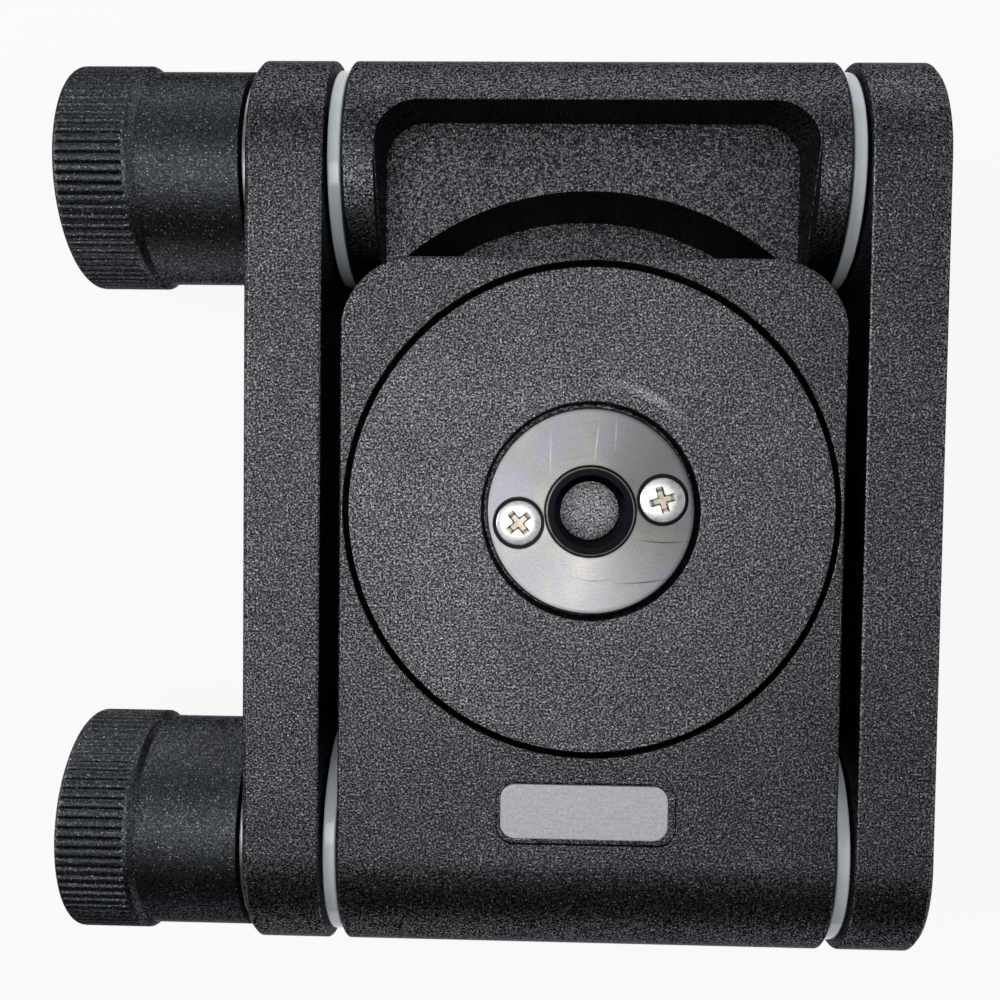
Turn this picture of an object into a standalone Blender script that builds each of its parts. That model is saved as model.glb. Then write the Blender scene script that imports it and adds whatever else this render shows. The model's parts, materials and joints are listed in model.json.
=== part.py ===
# Two-hinge folding tilt head, folded flat: a panning base section and a camera section,
# each on its own clamped hinge between two side arms. Metres, +Z up.
# X runs along both hinge axes, Y from the lower hinge to the upper one, Z out of the tripod face.

import math

import bmesh
import bpy
from mathutils import Vector

# Driving dimensions of the folded head
HINGE_SPACING = 0.0750
END_RADIUS = 0.0131
BARREL_WIDTH = 0.0535
SIDE_GAP = 0.0020
ARM_THICKNESS = 0.00835
ARM_OUTER_CHAMFER = 0.0006
ARM_INNER_CHAMFER = 0.0003
FOLD_CLEARANCE = 0.0005
SWING_CLEARANCE = 0.0004
FIT_GAP = 0.0003
CUT_OVERRUN = 0.0030
EDGE_CHAMFER = 0.0003

# Camera section
CAMERA_PLATE_THICKNESS = 0.0053
CAMERA_PLATE_LENGTH = 0.0916
CAMERA_PLATE_CORNER = 0.0050
CAMERA_PLATE_CHAMFER = 0.0006
PAD_PROUD = 0.0010
PAD_THICKNESS = 0.0015
PAD_LENGTH = 0.0560
PAD_BREADTH = 0.0130
PAD_CORNER = 0.0025
PAD_CHAMFER = 0.0003
POCKET_WIDTH = 0.0466
POCKET_DEPTH = 0.0101
POCKET_REACH = 0.0059
POCKET_CORNER = 0.0046
WELL_RADIUS = 0.0330
WELL_CENTRE_Y = 0.0028
WEB_REACH = 0.0050
WEB_SINK = 0.0010

# Captive camera screw
SCREW_THREAD_RADIUS = 0.0031
SCREW_HOLE_RADIUS = 0.0034
SCREW_HEAD_RADIUS = 0.0090
SCREW_HEAD_HEIGHT = 0.0034
SCREW_TRAVEL = 0.0053
SCREW_TIP_CHAMFER = 0.0006
SCREW_SLOT_WIDTH = 0.0016
SCREW_SLOT_DEPTH = 0.0014
SCREW_RIDGES = 36
SCREW_RIDGE_DEPTH = 0.0004
SCREW_WASHER_RADIUS = 0.0070
SCREW_WASHER_THICKNESS = 0.0006
O_RING_RADIUS = 0.0048
O_RING_THICKNESS = 0.0012

# Base section
BASE_PLATE_THICKNESS = 0.0087
BASE_PLATE_LENGTH = 0.0642
BASE_CORNER_RADIUS = 0.0080
PAN_SEAT_RADIUS = 0.0263
PAN_SEAT_DEPTH = 0.0048
PAN_BORE_RADIUS = 0.0150
LABEL_RECESS_LENGTH = 0.0192
LABEL_RECESS_BREADTH = 0.0067
LABEL_RECESS_DEPTH = 0.0007
LABEL_RECESS_CORNER = 0.0019
LABEL_CENTRE_Y = -0.0324
LABEL_LENGTH = 0.0179
LABEL_BREADTH = 0.0059
LABEL_THICKNESS = 0.0003
LABEL_CORNER = 0.0016
LABEL_SHIFT = 0.0002

# Pan disc and tripod thread
PAN_DISC_RADIUS = 0.0257
PAN_FLANGE_THICKNESS = 0.0035
PAN_EDGE_CHAMFER = 0.0003
RING_THICKNESS = 0.0007
RING_WIDTH = 0.0070
RETAINER_RADIUS = 0.0205
RETAINER_THICKNESS = 0.0023
RETAINER_SCREW_CIRCLE = 0.0098
RETAINER_SCREW_HEAD_RADIUS = 0.0023
RETAINER_SCREW_HEAD_HEIGHT = 0.0013
RETAINER_SCREW_GRIP = 0.0015
RETAINER_SCREW_COUNT = 3
THREAD_PLATE_RADIUS = 0.0110
THREAD_PLATE_THICKNESS = 0.0040
THREAD_PLATE_SINK = 0.0001
THREAD_PLATE_CHAMFER = 0.0002
THREAD_RECESS_RADIUS = 0.0116
PLATE_SCREW_CIRCLE = 0.0077
PLATE_SCREW_ANGLE = math.radians(9.8)
PLATE_SCREW_HEAD_RADIUS = 0.0024
PLATE_SCREW_HEAD_HEIGHT = 0.0011
PLATE_SCREW_POCKET_RADIUS = 0.0027
SMALL_SCREW_SHANK_RADIUS = 0.0011
PLATE_SCREW_GRIP = 0.0030
CROSS_LENGTH = 0.0026
CROSS_WIDTH = 0.0007
CROSS_DEPTH = 0.0006
CROSS_TURNS = (math.radians(40), math.radians(17))
BUSHING_RADIUS = 0.00475
BUSHING_BORE_RADIUS = 0.00318
BUSHING_CHAMFER = 0.0002
BUSHING_COUNTERSINK = 0.0007
TRIPOD_HOLE_DEPTH = 0.0085

# Hinge hardware
STUD_RADIUS = 0.0025
STUD_REACH = 0.0115
STUD_TIP_CHAMFER = 0.0005
FRICTION_WASHER_RADIUS = 0.0121
FRICTION_WASHER_BORE = 0.0050
THRUST_WASHER_RADIUS = 0.0113
THRUST_WASHER_THICKNESS = 0.0005
THRUST_WASHER_GAP = 0.0002
BOLT_HEAD_RADIUS = 0.00425
BOLT_HEAD_HEIGHT = 0.0050
BOLT_HEAD_SINK = 0.0002
BOLT_SOCKET_RADIUS = 0.0023
BOLT_SOCKET_DEPTH = 0.0025

# Clamp knobs
KNOB_END_REACH = 0.0580
KNURL_RADIUS = 0.01248
KNURL_LENGTH = 0.0082
KNURL_RIDGES = 72
KNURL_DEPTH = 0.00032
KNOB_END_ROUND = 0.0008
KNOB_SHOULDER = 0.0009
SLEEVE_RADIUS = 0.0119
SLEEVE_EDGE = 0.0003
KNOB_CAP_RADIUS = 0.0085
KNOB_CAP_THICKNESS = 0.0010
KNOB_CAP_SINK = 0.0002

# Facet counts
BARREL_STEPS = 24
ROUND_STEPS = 56
DISC_STEPS = 80
SMALL_STEPS = 20
CORNER_STEPS = 6

# Places that follow from the driving dimensions
HALF_BARREL = BARREL_WIDTH / 2
ARM_INNER = HALF_BARREL + SIDE_GAP
ARM_OUTER = ARM_INNER + ARM_THICKNESS
MID_X = (KNOB_END_REACH - ARM_OUTER) / 2
LOWER_Y = -HINGE_SPACING / 2
UPPER_Y = HINGE_SPACING / 2
PLATE_UNDER = PAD_PROUD
PLATE_TOP = PLATE_UNDER + CAMERA_PLATE_THICKNESS
HINGE_Z = PLATE_TOP + FOLD_CLEARANCE + END_RADIUS
FACE_Z = HINGE_Z + END_RADIUS
BASE_UNDER = FACE_Z - BASE_PLATE_THICKNESS
BASE_END_Y = LOWER_Y + BASE_PLATE_LENGTH
PAN_SEAT_Z = FACE_Z - PAN_SEAT_DEPTH
FLANGE_UNDER = FACE_Z - PAN_FLANGE_THICKNESS
HUB_RADIUS = PAN_BORE_RADIUS - FIT_GAP
LOWER_RING_TOP = BASE_UNDER - FIT_GAP
HUB_UNDER = LOWER_RING_TOP - RING_THICKNESS
RETAINER_TOP = HUB_UNDER - FIT_GAP
RETAINER_UNDER = RETAINER_TOP - RETAINER_THICKNESS
THREAD_PLATE_TOP = FACE_Z - THREAD_PLATE_SINK
THREAD_PLATE_UNDER = THREAD_PLATE_TOP - THREAD_PLATE_THICKNESS
TRIPOD_HOLE_FLOOR = FACE_Z - TRIPOD_HOLE_DEPTH
SCREW_Y = WELL_CENTRE_Y
STUD_HOLE_RADIUS = STUD_RADIUS + FIT_GAP
STUD_END_X = HALF_BARREL - STUD_REACH
STUD_HOLE_END_X = STUD_END_X - FIT_GAP
SLEEVE_END_X = -(ARM_OUTER + THRUST_WASHER_THICKNESS + 2 * THRUST_WASHER_GAP)
KNURL_START_X = -(KNOB_END_REACH - KNURL_LENGTH)

# Colours and finish of the real surfaces: colour, roughness, metallic
FINISHES = {
    "grained_black": ((0.020, 0.021, 0.023), 0.55, 0.3),
    "turned_steel": ((0.62, 0.61, 0.58), 0.28, 1.0),
    "black_oxide": ((0.012, 0.012, 0.014), 0.35, 0.8),
    "nickel_screw": ((0.78, 0.77, 0.74), 0.25, 1.0),
    "pale_acetal": ((0.72, 0.78, 0.84), 0.35, 0.0),
    "silver_label": ((0.60, 0.60, 0.60), 0.45, 0.6),
    "zinc_steel": ((0.55, 0.55, 0.54), 0.35, 1.0),
    "pad_rubber": ((0.018, 0.018, 0.018), 0.85, 0.0),
    "knob_cap_black": ((0.016, 0.016, 0.017), 0.40, 0.0),
}


def clear_scene():
    for item in list(bpy.data.objects):
        bpy.data.objects.remove(item, do_unlink=True)


def make_material(name):
    colour, roughness, metallic = FINISHES[name]
    material = bpy.data.materials.new(name)
    material.use_nodes = True
    shader = material.node_tree.nodes["Principled BSDF"]
    shader.inputs["Base Color"].default_value = (*colour, 1)
    shader.inputs["Roughness"].default_value = roughness
    shader.inputs["Metallic"].default_value = metallic
    return material


def make_axis(name, place, parent=None):
    empty = bpy.data.objects.new(name, None)
    empty.location = place
    empty.parent = parent
    bpy.context.scene.collection.objects.link(empty)
    return empty


# A solid is built in the head's own places, then its origin is put on its joint's axis.
def add_solid(name, bm, axis, finish=None):
    bmesh.ops.recalc_face_normals(bm, faces=bm.faces)
    bmesh.ops.translate(bm, verts=bm.verts, vec=-axis.location)
    mesh = bpy.data.meshes.new(name)
    bm.to_mesh(mesh)
    bm.free()
    solid = bpy.data.objects.new(name, mesh)
    solid.parent = axis
    bpy.context.scene.collection.objects.link(solid)
    if finish:
        mesh.materials.append(make_material(finish))
        mesh.shade_smooth()
        mesh.set_sharp_from_angle(angle=math.radians(35))
    return solid


def combine(solid, tool, operation):
    tool.hide_render = True
    tool.display_type = "WIRE"
    modifier = solid.modifiers.new(tool.name, "BOOLEAN")
    modifier.operation = operation
    modifier.solver = "EXACT"
    modifier.object = tool


def cut(solid, name, bm, axis):
    combine(solid, add_solid(name, bm, axis), "DIFFERENCE")


# Joins rings of equally many points into one closed skin with a cap at each end.
def skin(rings, closed=False):
    bm = bmesh.new()
    loops = [[bm.verts.new(point) for point in ring] for ring in rings]
    count = len(loops[0])
    pairs = list(zip(loops, loops[1:]))
    if closed:
        pairs.append((loops[-1], loops[0]))
    else:
        bm.faces.new(loops[0])
        bm.faces.new(reversed(loops[-1]))
    for first, second in pairs:
        for k in range(count):
            n = (k + 1) % count
            bm.faces.new((first[k], second[k], second[n], first[n]))
    return bm


# Turns a profile of (distance along the axis, radius) about a line through centre along X or Z.
def turned(profile, centre, direction, steps, closed=False, wave=None):
    rings = []
    for along, radius in profile:
        ring = []
        for k in range(steps):
            angle = 2 * math.pi * k / steps
            reach = radius - (wave if wave and k % 2 else 0) * (radius > 0)
            across, up = reach * math.cos(angle), reach * math.sin(angle)
            if direction == "X":
                ring.append(Vector((along, centre[1] + across, centre[2] + up)))
            else:
                ring.append(Vector((centre[0] + across, centre[1] + up, along)))
        rings.append(ring)
    return skin(rings, closed)


def rod(start, end, radius, centre, direction, steps=SMALL_STEPS):
    return turned([(start, radius), (end, radius)], centre, direction, steps)


def washer(start, end, outer, bore, centre, direction, steps=ROUND_STEPS):
    profile = [(start, bore), (start, outer), (end, outer), (end, bore)]
    return turned(profile, centre, direction, steps, closed=True)


# Plan outline of a rounded rectangle centred on (x, y), drawn in by inset.
def rounded_outline(x, y, half_x, half_y, corner, inset=0.0):
    points = []
    radius = corner - inset
    turns = ((1, 1, 0), (-1, 1, 1), (-1, -1, 2), (1, -1, 3))
    for side_x, side_y, quarter in turns:
        for k in range(CORNER_STEPS + 1):
            angle = (quarter + k / CORNER_STEPS) * math.pi / 2
            px = x + side_x * (half_x - corner) + radius * math.cos(angle)
            py = y + side_y * (half_y - corner) + radius * math.sin(angle)
            points.append((px, py))
    return points


def slab(x, y, half_x, half_y, corner, bottom, top, chamfer=0.0):
    levels = [(bottom, chamfer), (top, chamfer)]
    if chamfer:
        levels = [(bottom, chamfer), (bottom + chamfer, 0.0), (top - chamfer, 0.0), (top, chamfer)]
    rings = []
    for level, inset in levels:
        outline = rounded_outline(x, y, half_x, half_y, corner, inset)
        rings.append([Vector((px, py, level)) for px, py in outline])
    return skin(rings)


# Side outline of an arm: a bar with a round end on each hinge axis.
def arm_outline(inset):
    points = []
    radius = END_RADIUS - inset
    for centre, start in ((UPPER_Y, 0), (LOWER_Y, 1)):
        for k in range(BARREL_STEPS + 1):
            angle = math.pi / 2 - math.pi * (start + k / BARREL_STEPS)
            points.append((centre + radius * math.cos(angle), HINGE_Z + radius * math.sin(angle)))
    return points


def side_skin(levels, outline):
    return skin([[Vector((x, y, z)) for y, z in outline(inset)] for x, inset in levels])


def build_arm(name, side, axis):
    levels = [
        (side * ARM_INNER, ARM_INNER_CHAMFER),
        (side * (ARM_INNER + ARM_INNER_CHAMFER), 0.0),
        (side * (ARM_OUTER - ARM_OUTER_CHAMFER), 0.0),
        (side * ARM_OUTER, ARM_OUTER_CHAMFER),
    ]
    arm = add_solid(name, side_skin(levels, arm_outline), axis, "grained_black")
    for label, y in (("lower", LOWER_Y), ("upper", UPPER_Y)):
        centre = (0, y, HINGE_Z)
        start = side * (ARM_INNER - CUT_OVERRUN)
        end = side * (ARM_OUTER + CUT_OVERRUN)
        cut(arm, f"{name}_{label}_bore", rod(start, end, STUD_HOLE_RADIUS, centre, "X"), axis)
        if side > 0:
            depth = ARM_OUTER - BOLT_HEAD_SINK - BOLT_HEAD_HEIGHT - FIT_GAP
            seat = rod(depth, end, BOLT_HEAD_RADIUS + FIT_GAP, centre, "X")
            cut(arm, f"{name}_{label}_counterbore", seat, axis)
    return arm


# Side outline of the base section: the plate runs into the top of its barrel without a step.
def base_outline(inset):
    radius = END_RADIUS - inset
    under = BASE_UNDER + inset
    last = math.asin((under - HINGE_Z) / radius)
    points = [(BASE_END_Y - inset, FACE_Z - inset)]
    sweep = 3 * math.pi / 2 + last
    steps = 2 * BARREL_STEPS
    for k in range(steps + 1):
        angle = math.pi / 2 + sweep * k / steps
        points.append((LOWER_Y + radius * math.cos(angle), HINGE_Z + radius * math.sin(angle)))
    points.append((BASE_END_Y - inset, under))
    return points


def corner_cutter(side):
    rings = []
    inner_x = HALF_BARREL - BASE_CORNER_RADIUS
    inner_y = BASE_END_Y - BASE_CORNER_RADIUS
    outer_x = HALF_BARREL + CUT_OVERRUN
    outer_y = BASE_END_Y + CUT_OVERRUN
    for level in (BASE_UNDER - CUT_OVERRUN, FACE_Z + CUT_OVERRUN):
        ring = [Vector((side * outer_x, outer_y, level)), Vector((side * inner_x, outer_y, level))]
        for k in range(2 * CORNER_STEPS + 1):
            angle = math.pi / 2 * (1 - k / (2 * CORNER_STEPS))
            x = inner_x + BASE_CORNER_RADIUS * math.cos(angle)
            y = inner_y + BASE_CORNER_RADIUS * math.sin(angle)
            ring.append(Vector((side * x, y, level)))
        ring.append(Vector((side * outer_x, inner_y, level)))
        rings.append(ring)
    return skin(rings)


def cut_stud_holes(solid, prefix, y, axis):
    for label, side in (("left", -1), ("right", 1)):
        start, end = side * STUD_HOLE_END_X, side * (HALF_BARREL + CUT_OVERRUN)
        hole = rod(start, end, STUD_HOLE_RADIUS, (0, y, HINGE_Z), "X")
        cut(solid, f"{prefix}_{label}_stud_hole", hole, axis)


def build_base(axis):
    levels = [
        (-HALF_BARREL, EDGE_CHAMFER),
        (EDGE_CHAMFER - HALF_BARREL, 0.0),
        (HALF_BARREL - EDGE_CHAMFER, 0.0),
        (HALF_BARREL, EDGE_CHAMFER),
    ]
    base = add_solid("base_plate", side_skin(levels, base_outline), axis, "grained_black")
    above = FACE_Z + CUT_OVERRUN
    relief_radius = END_RADIUS + SWING_CLEARANCE
    relief_end = HALF_BARREL + CUT_OVERRUN
    relief = rod(-relief_end, relief_end, relief_radius, (0, UPPER_Y, HINGE_Z), "X", ROUND_STEPS)
    cut(base, "base_end_relief", relief, axis)
    centre = (0, 0, 0)
    cut(base, "pan_seat_cut", rod(PAN_SEAT_Z, above, PAN_SEAT_RADIUS, centre, "Z", DISC_STEPS), axis)
    bore_start = BASE_UNDER - CUT_OVERRUN
    cut(base, "pan_bore_cut", rod(bore_start, above, PAN_BORE_RADIUS, centre, "Z", ROUND_STEPS), axis)
    for label, side in (("left", -1), ("right", 1)):
        cut(base, f"base_{label}_corner_cut", corner_cutter(side), axis)
    floor = FACE_Z - LABEL_RECESS_DEPTH
    recess = slab(0, LABEL_CENTRE_Y, LABEL_RECESS_LENGTH / 2, LABEL_RECESS_BREADTH / 2,
                  LABEL_RECESS_CORNER, floor, above)
    cut(base, "label_recess_cut", recess, axis)
    cut_stud_holes(base, "base", LOWER_Y, axis)


def build_label(axis):
    bottom = FACE_Z - LABEL_RECESS_DEPTH + FIT_GAP
    plate = slab(-LABEL_SHIFT, LABEL_CENTRE_Y + LABEL_SHIFT, LABEL_LENGTH / 2, LABEL_BREADTH / 2,
                 LABEL_CORNER, bottom, bottom + LABEL_THICKNESS)
    add_solid("label_plate", plate, axis, "silver_label")


# The disc turns in its seat on its flange and is held from below by the retainer.
def build_pan_disc(axis):
    profile = [
        (HUB_UNDER, HUB_RADIUS),
        (FLANGE_UNDER, HUB_RADIUS),
        (FLANGE_UNDER, PAN_DISC_RADIUS),
        (FACE_Z - PAN_EDGE_CHAMFER, PAN_DISC_RADIUS),
        (FACE_Z, PAN_DISC_RADIUS - PAN_EDGE_CHAMFER),
    ]
    centre = (0, 0, 0)
    disc = add_solid("pan_disc", turned(profile, centre, "Z", DISC_STEPS), axis, "grained_black")
    above = FACE_Z + CUT_OVERRUN
    recess_floor = THREAD_PLATE_UNDER - FIT_GAP
    for number, place in enumerate(plate_screw_places()):
        depth = plate_screw_end() - FIT_GAP
        hole = rod(depth, above, SMALL_SCREW_SHANK_RADIUS + FIT_GAP, place, "Z", SMALL_STEPS // 2)
        cut(disc, f"plate_screw_hole_{number}", hole, axis)
    for number, place in enumerate(retainer_screw_places()):
        start, end = HUB_UNDER - CUT_OVERRUN, retainer_screw_end() + FIT_GAP
        hole = rod(start, end, SMALL_SCREW_SHANK_RADIUS + FIT_GAP, place, "Z", SMALL_STEPS // 2)
        cut(disc, f"retainer_screw_hole_{number}", hole, axis)
    hole_radius = BUSHING_RADIUS + FIT_GAP
    cut(disc, "tripod_hole_cut", rod(TRIPOD_HOLE_FLOOR, above, hole_radius, centre, "Z"), axis)
    recess = rod(recess_floor, above, THREAD_RECESS_RADIUS, centre, "Z", ROUND_STEPS)
    cut(disc, "thread_recess_cut", recess, axis)


def plate_screw_places():
    x = PLATE_SCREW_CIRCLE * math.cos(PLATE_SCREW_ANGLE)
    y = PLATE_SCREW_CIRCLE * math.sin(PLATE_SCREW_ANGLE)
    return [(-x, -y, 0), (x, y, 0)]


def plate_screw_end():
    return THREAD_PLATE_UNDER - PLATE_SCREW_GRIP


def retainer_screw_places():
    places = []
    for number in range(RETAINER_SCREW_COUNT):
        angle = math.pi / 2 + 2 * math.pi * number / RETAINER_SCREW_COUNT
        places.append((RETAINER_SCREW_CIRCLE * math.cos(angle), RETAINER_SCREW_CIRCLE * math.sin(angle), 0))
    return places


def retainer_screw_end():
    return HUB_UNDER + RETAINER_SCREW_GRIP


def build_thread_plate(axis):
    profile = [
        (THREAD_PLATE_UNDER, THREAD_PLATE_RADIUS),
        (THREAD_PLATE_TOP - THREAD_PLATE_CHAMFER, THREAD_PLATE_RADIUS),
        (THREAD_PLATE_TOP, THREAD_PLATE_RADIUS - THREAD_PLATE_CHAMFER),
    ]
    centre = (0, 0, 0)
    plate = add_solid("thread_plate", turned(profile, centre, "Z", ROUND_STEPS), axis, "turned_steel")
    below, above = THREAD_PLATE_UNDER - CUT_OVERRUN, THREAD_PLATE_TOP + CUT_OVERRUN
    bore = rod(below, above, BUSHING_RADIUS + FIT_GAP, centre, "Z", ROUND_STEPS)
    cut(plate, "thread_plate_bore", bore, axis)
    seat = THREAD_PLATE_TOP - PLATE_SCREW_HEAD_HEIGHT - FIT_GAP
    for number, place in enumerate(plate_screw_places()):
        pocket = rod(seat, above, PLATE_SCREW_POCKET_RADIUS, place, "Z")
        cut(plate, f"plate_screw_pocket_{number}", pocket, axis)
        hole = rod(below, above, SMALL_SCREW_SHANK_RADIUS + FIT_GAP, place, "Z", SMALL_STEPS // 2)
        cut(plate, f"plate_screw_clearance_{number}", hole, axis)


# A small cross-recess screw; up is 1 for a head that faces +Z and -1 for one that faces -Z.
def build_small_screw(name, place, head_face, head_radius, head_height, end, turn, axis):
    up = 1 if head_face > end else -1
    neck = head_face - up * head_height
    profile = [
        (head_face, head_radius),
        (neck, head_radius),
        (neck, SMALL_SCREW_SHANK_RADIUS),
        (end, SMALL_SCREW_SHANK_RADIUS),
    ]
    screw = add_solid(name, turned(profile, place, "Z", SMALL_STEPS), axis, "nickel_screw")
    floor = head_face - up * CROSS_DEPTH
    lip = head_face + up * CROSS_DEPTH
    half_long, half_wide = CROSS_LENGTH / 2, CROSS_WIDTH / 2
    outline = [
        (half_long, half_wide), (half_wide, half_wide), (half_wide, half_long),
        (-half_wide, half_long), (-half_wide, half_wide), (-half_long, half_wide),
        (-half_long, -half_wide), (-half_wide, -half_wide), (-half_wide, -half_long),
        (half_wide, -half_long), (half_wide, -half_wide), (half_long, -half_wide),
    ]
    rings = []
    for level in (floor, lip):
        ring = []
        for x, y in outline:
            px = place[0] + x * math.cos(turn) - y * math.sin(turn)
            py = place[1] + x * math.sin(turn) + y * math.cos(turn)
            ring.append(Vector((px, py, level)))
        rings.append(ring)
    cut(screw, f"{name}_cross", skin(rings), axis)


def build_bushing(axis):
    top, bottom = THREAD_PLATE_TOP, THREAD_PLATE_UNDER
    profile = [
        (bottom, BUSHING_BORE_RADIUS),
        (bottom, BUSHING_RADIUS),
        (top - BUSHING_CHAMFER, BUSHING_RADIUS),
        (top, BUSHING_RADIUS - BUSHING_CHAMFER),
        (top, BUSHING_BORE_RADIUS + BUSHING_COUNTERSINK),
        (top - BUSHING_COUNTERSINK, BUSHING_BORE_RADIUS),
    ]
    ring = turned(profile, (0, 0, 0), "Z", ROUND_STEPS // 2, closed=True)
    add_solid("reducer_bushing", ring, axis, "black_oxide")


def build_retainer(axis):
    centre = (0, 0, 0)
    plate = rod(RETAINER_UNDER, RETAINER_TOP, RETAINER_RADIUS, centre, "Z", ROUND_STEPS)
    retainer = add_solid("pan_retainer", plate, axis, "zinc_steel")
    below, above = RETAINER_UNDER - CUT_OVERRUN, RETAINER_TOP + CUT_OVERRUN
    seat = RETAINER_UNDER + RETAINER_SCREW_HEAD_HEIGHT + FIT_GAP
    for number, place in enumerate(retainer_screw_places()):
        pocket = rod(below, seat, RETAINER_SCREW_HEAD_RADIUS + FIT_GAP, place, "Z")
        cut(retainer, f"retainer_pocket_{number}", pocket, axis)
        hole = rod(below, above, SMALL_SCREW_SHANK_RADIUS + FIT_GAP, place, "Z", SMALL_STEPS // 2)
        cut(retainer, f"retainer_clearance_{number}", hole, axis)


def build_pan_rings(axis):
    centre = (0, 0, 0)
    upper_bottom = PAN_SEAT_Z + FIT_GAP
    upper_bore = PAN_BORE_RADIUS + FIT_GAP
    upper_top = FLANGE_UNDER - FIT_GAP
    upper_outer = upper_bore + RING_WIDTH
    upper = washer(upper_bottom, upper_top, upper_outer, upper_bore, centre, "Z", ROUND_STEPS // 2)
    add_solid("pan_friction_ring", upper, axis, "pale_acetal")
    lower_bottom = RETAINER_TOP + FIT_GAP
    lower_outer = RETAINER_RADIUS - FIT_GAP
    lower_bore = HUB_RADIUS + FIT_GAP
    lower = washer(lower_bottom, LOWER_RING_TOP, lower_outer, lower_bore, centre, "Z", ROUND_STEPS // 2)
    add_solid("pan_lower_ring", lower, axis, "pale_acetal")


# The camera section: barrel, web and wide plate in one piece, hollowed to clear the pan disc's hub.
def camera_outline(inset):
    radius = END_RADIUS - inset
    web = WEB_REACH - inset
    foot = PLATE_TOP - WEB_SINK
    points = []
    sweep = math.pi + math.acos(web / radius)
    steps = 2 * BARREL_STEPS
    for k in range(steps + 1):
        angle = math.pi - sweep * k / steps
        points.append((UPPER_Y + radius * math.cos(angle), HINGE_Z + radius * math.sin(angle)))
    points.append((UPPER_Y + web, foot))
    points.append((UPPER_Y - radius, foot))
    return points


def build_camera_section(axis):
    levels = [
        (-HALF_BARREL, EDGE_CHAMFER),
        (EDGE_CHAMFER - HALF_BARREL, 0.0),
        (HALF_BARREL - EDGE_CHAMFER, 0.0),
        (HALF_BARREL, EDGE_CHAMFER),
    ]
    section = add_solid("camera_section", side_skin(levels, camera_outline), axis, "grained_black")
    above = FACE_Z + CUT_OVERRUN
    well = (0, WELL_CENTRE_Y, 0)
    cut(section, "well_cut", rod(PLATE_UNDER, above, WELL_RADIUS, well, "Z", DISC_STEPS), axis)
    pocket_floor = FACE_Z - POCKET_DEPTH
    pocket_top = UPPER_Y + POCKET_REACH
    pocket_bottom = UPPER_Y - END_RADIUS - POCKET_CORNER - CUT_OVERRUN
    half_y = (pocket_top - pocket_bottom) / 2
    pocket = slab(0, pocket_bottom + half_y, POCKET_WIDTH / 2, half_y, POCKET_CORNER, pocket_floor, above)
    cut(section, "pocket_cut", pocket, axis)
    cut_stud_holes(section, "camera", UPPER_Y, axis)
    plate_end = UPPER_Y + END_RADIUS
    centre_y = plate_end - CAMERA_PLATE_LENGTH / 2
    plate = slab(0, centre_y, ARM_OUTER, CAMERA_PLATE_LENGTH / 2, CAMERA_PLATE_CORNER,
                 PLATE_UNDER, PLATE_TOP, CAMERA_PLATE_CHAMFER)
    combine(section, add_solid("camera_plate_shape", plate, axis), "UNION")
    screw = (0, SCREW_Y, 0)
    below = PLATE_UNDER - CUT_OVERRUN
    over = PLATE_TOP + CUT_OVERRUN
    cut(section, "screw_hole_cut", rod(below, over, SCREW_HOLE_RADIUS, screw, "Z"), axis)
    middle = (PLATE_UNDER + PLATE_TOP) / 2
    groove_half = O_RING_THICKNESS / 2 + FIT_GAP
    groove = rod(middle - groove_half, middle + groove_half, O_RING_RADIUS + FIT_GAP, screw, "Z")
    cut(section, "o_ring_groove_cut", groove, axis)
    roof = PAD_THICKNESS + FIT_GAP
    half_long, half_wide = PAD_LENGTH / 2 + FIT_GAP, PAD_BREADTH / 2 + FIT_GAP
    for label, y in pad_places():
        recess = slab(0, y, half_long, half_wide, PAD_CORNER + FIT_GAP, below, roof)
        cut(section, f"{label}_recess_cut", recess, axis)


# Each pad lies midway between the camera screw and its end of the plate.
def pad_places():
    rear_end = UPPER_Y + END_RADIUS
    front_end = rear_end - CAMERA_PLATE_LENGTH
    return [("rear_pad", (SCREW_Y + rear_end) / 2), ("front_pad", (SCREW_Y + front_end) / 2)]


def build_pads(axis):
    for name, y in pad_places():
        pad = slab(0, y, PAD_LENGTH / 2, PAD_BREADTH / 2, PAD_CORNER, 0.0, PAD_THICKNESS, PAD_CHAMFER)
        add_solid(name, pad, axis, "pad_rubber")


def build_o_ring(axis):
    middle = (PLATE_UNDER + PLATE_TOP) / 2
    half = O_RING_THICKNESS / 2
    bore = SCREW_THREAD_RADIUS + FIT_GAP
    ring = washer(middle - half, middle + half, O_RING_RADIUS, bore, (0, SCREW_Y, 0), "Z", SMALL_STEPS)
    add_solid("camera_screw_o_ring", ring, axis, "pad_rubber")


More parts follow.
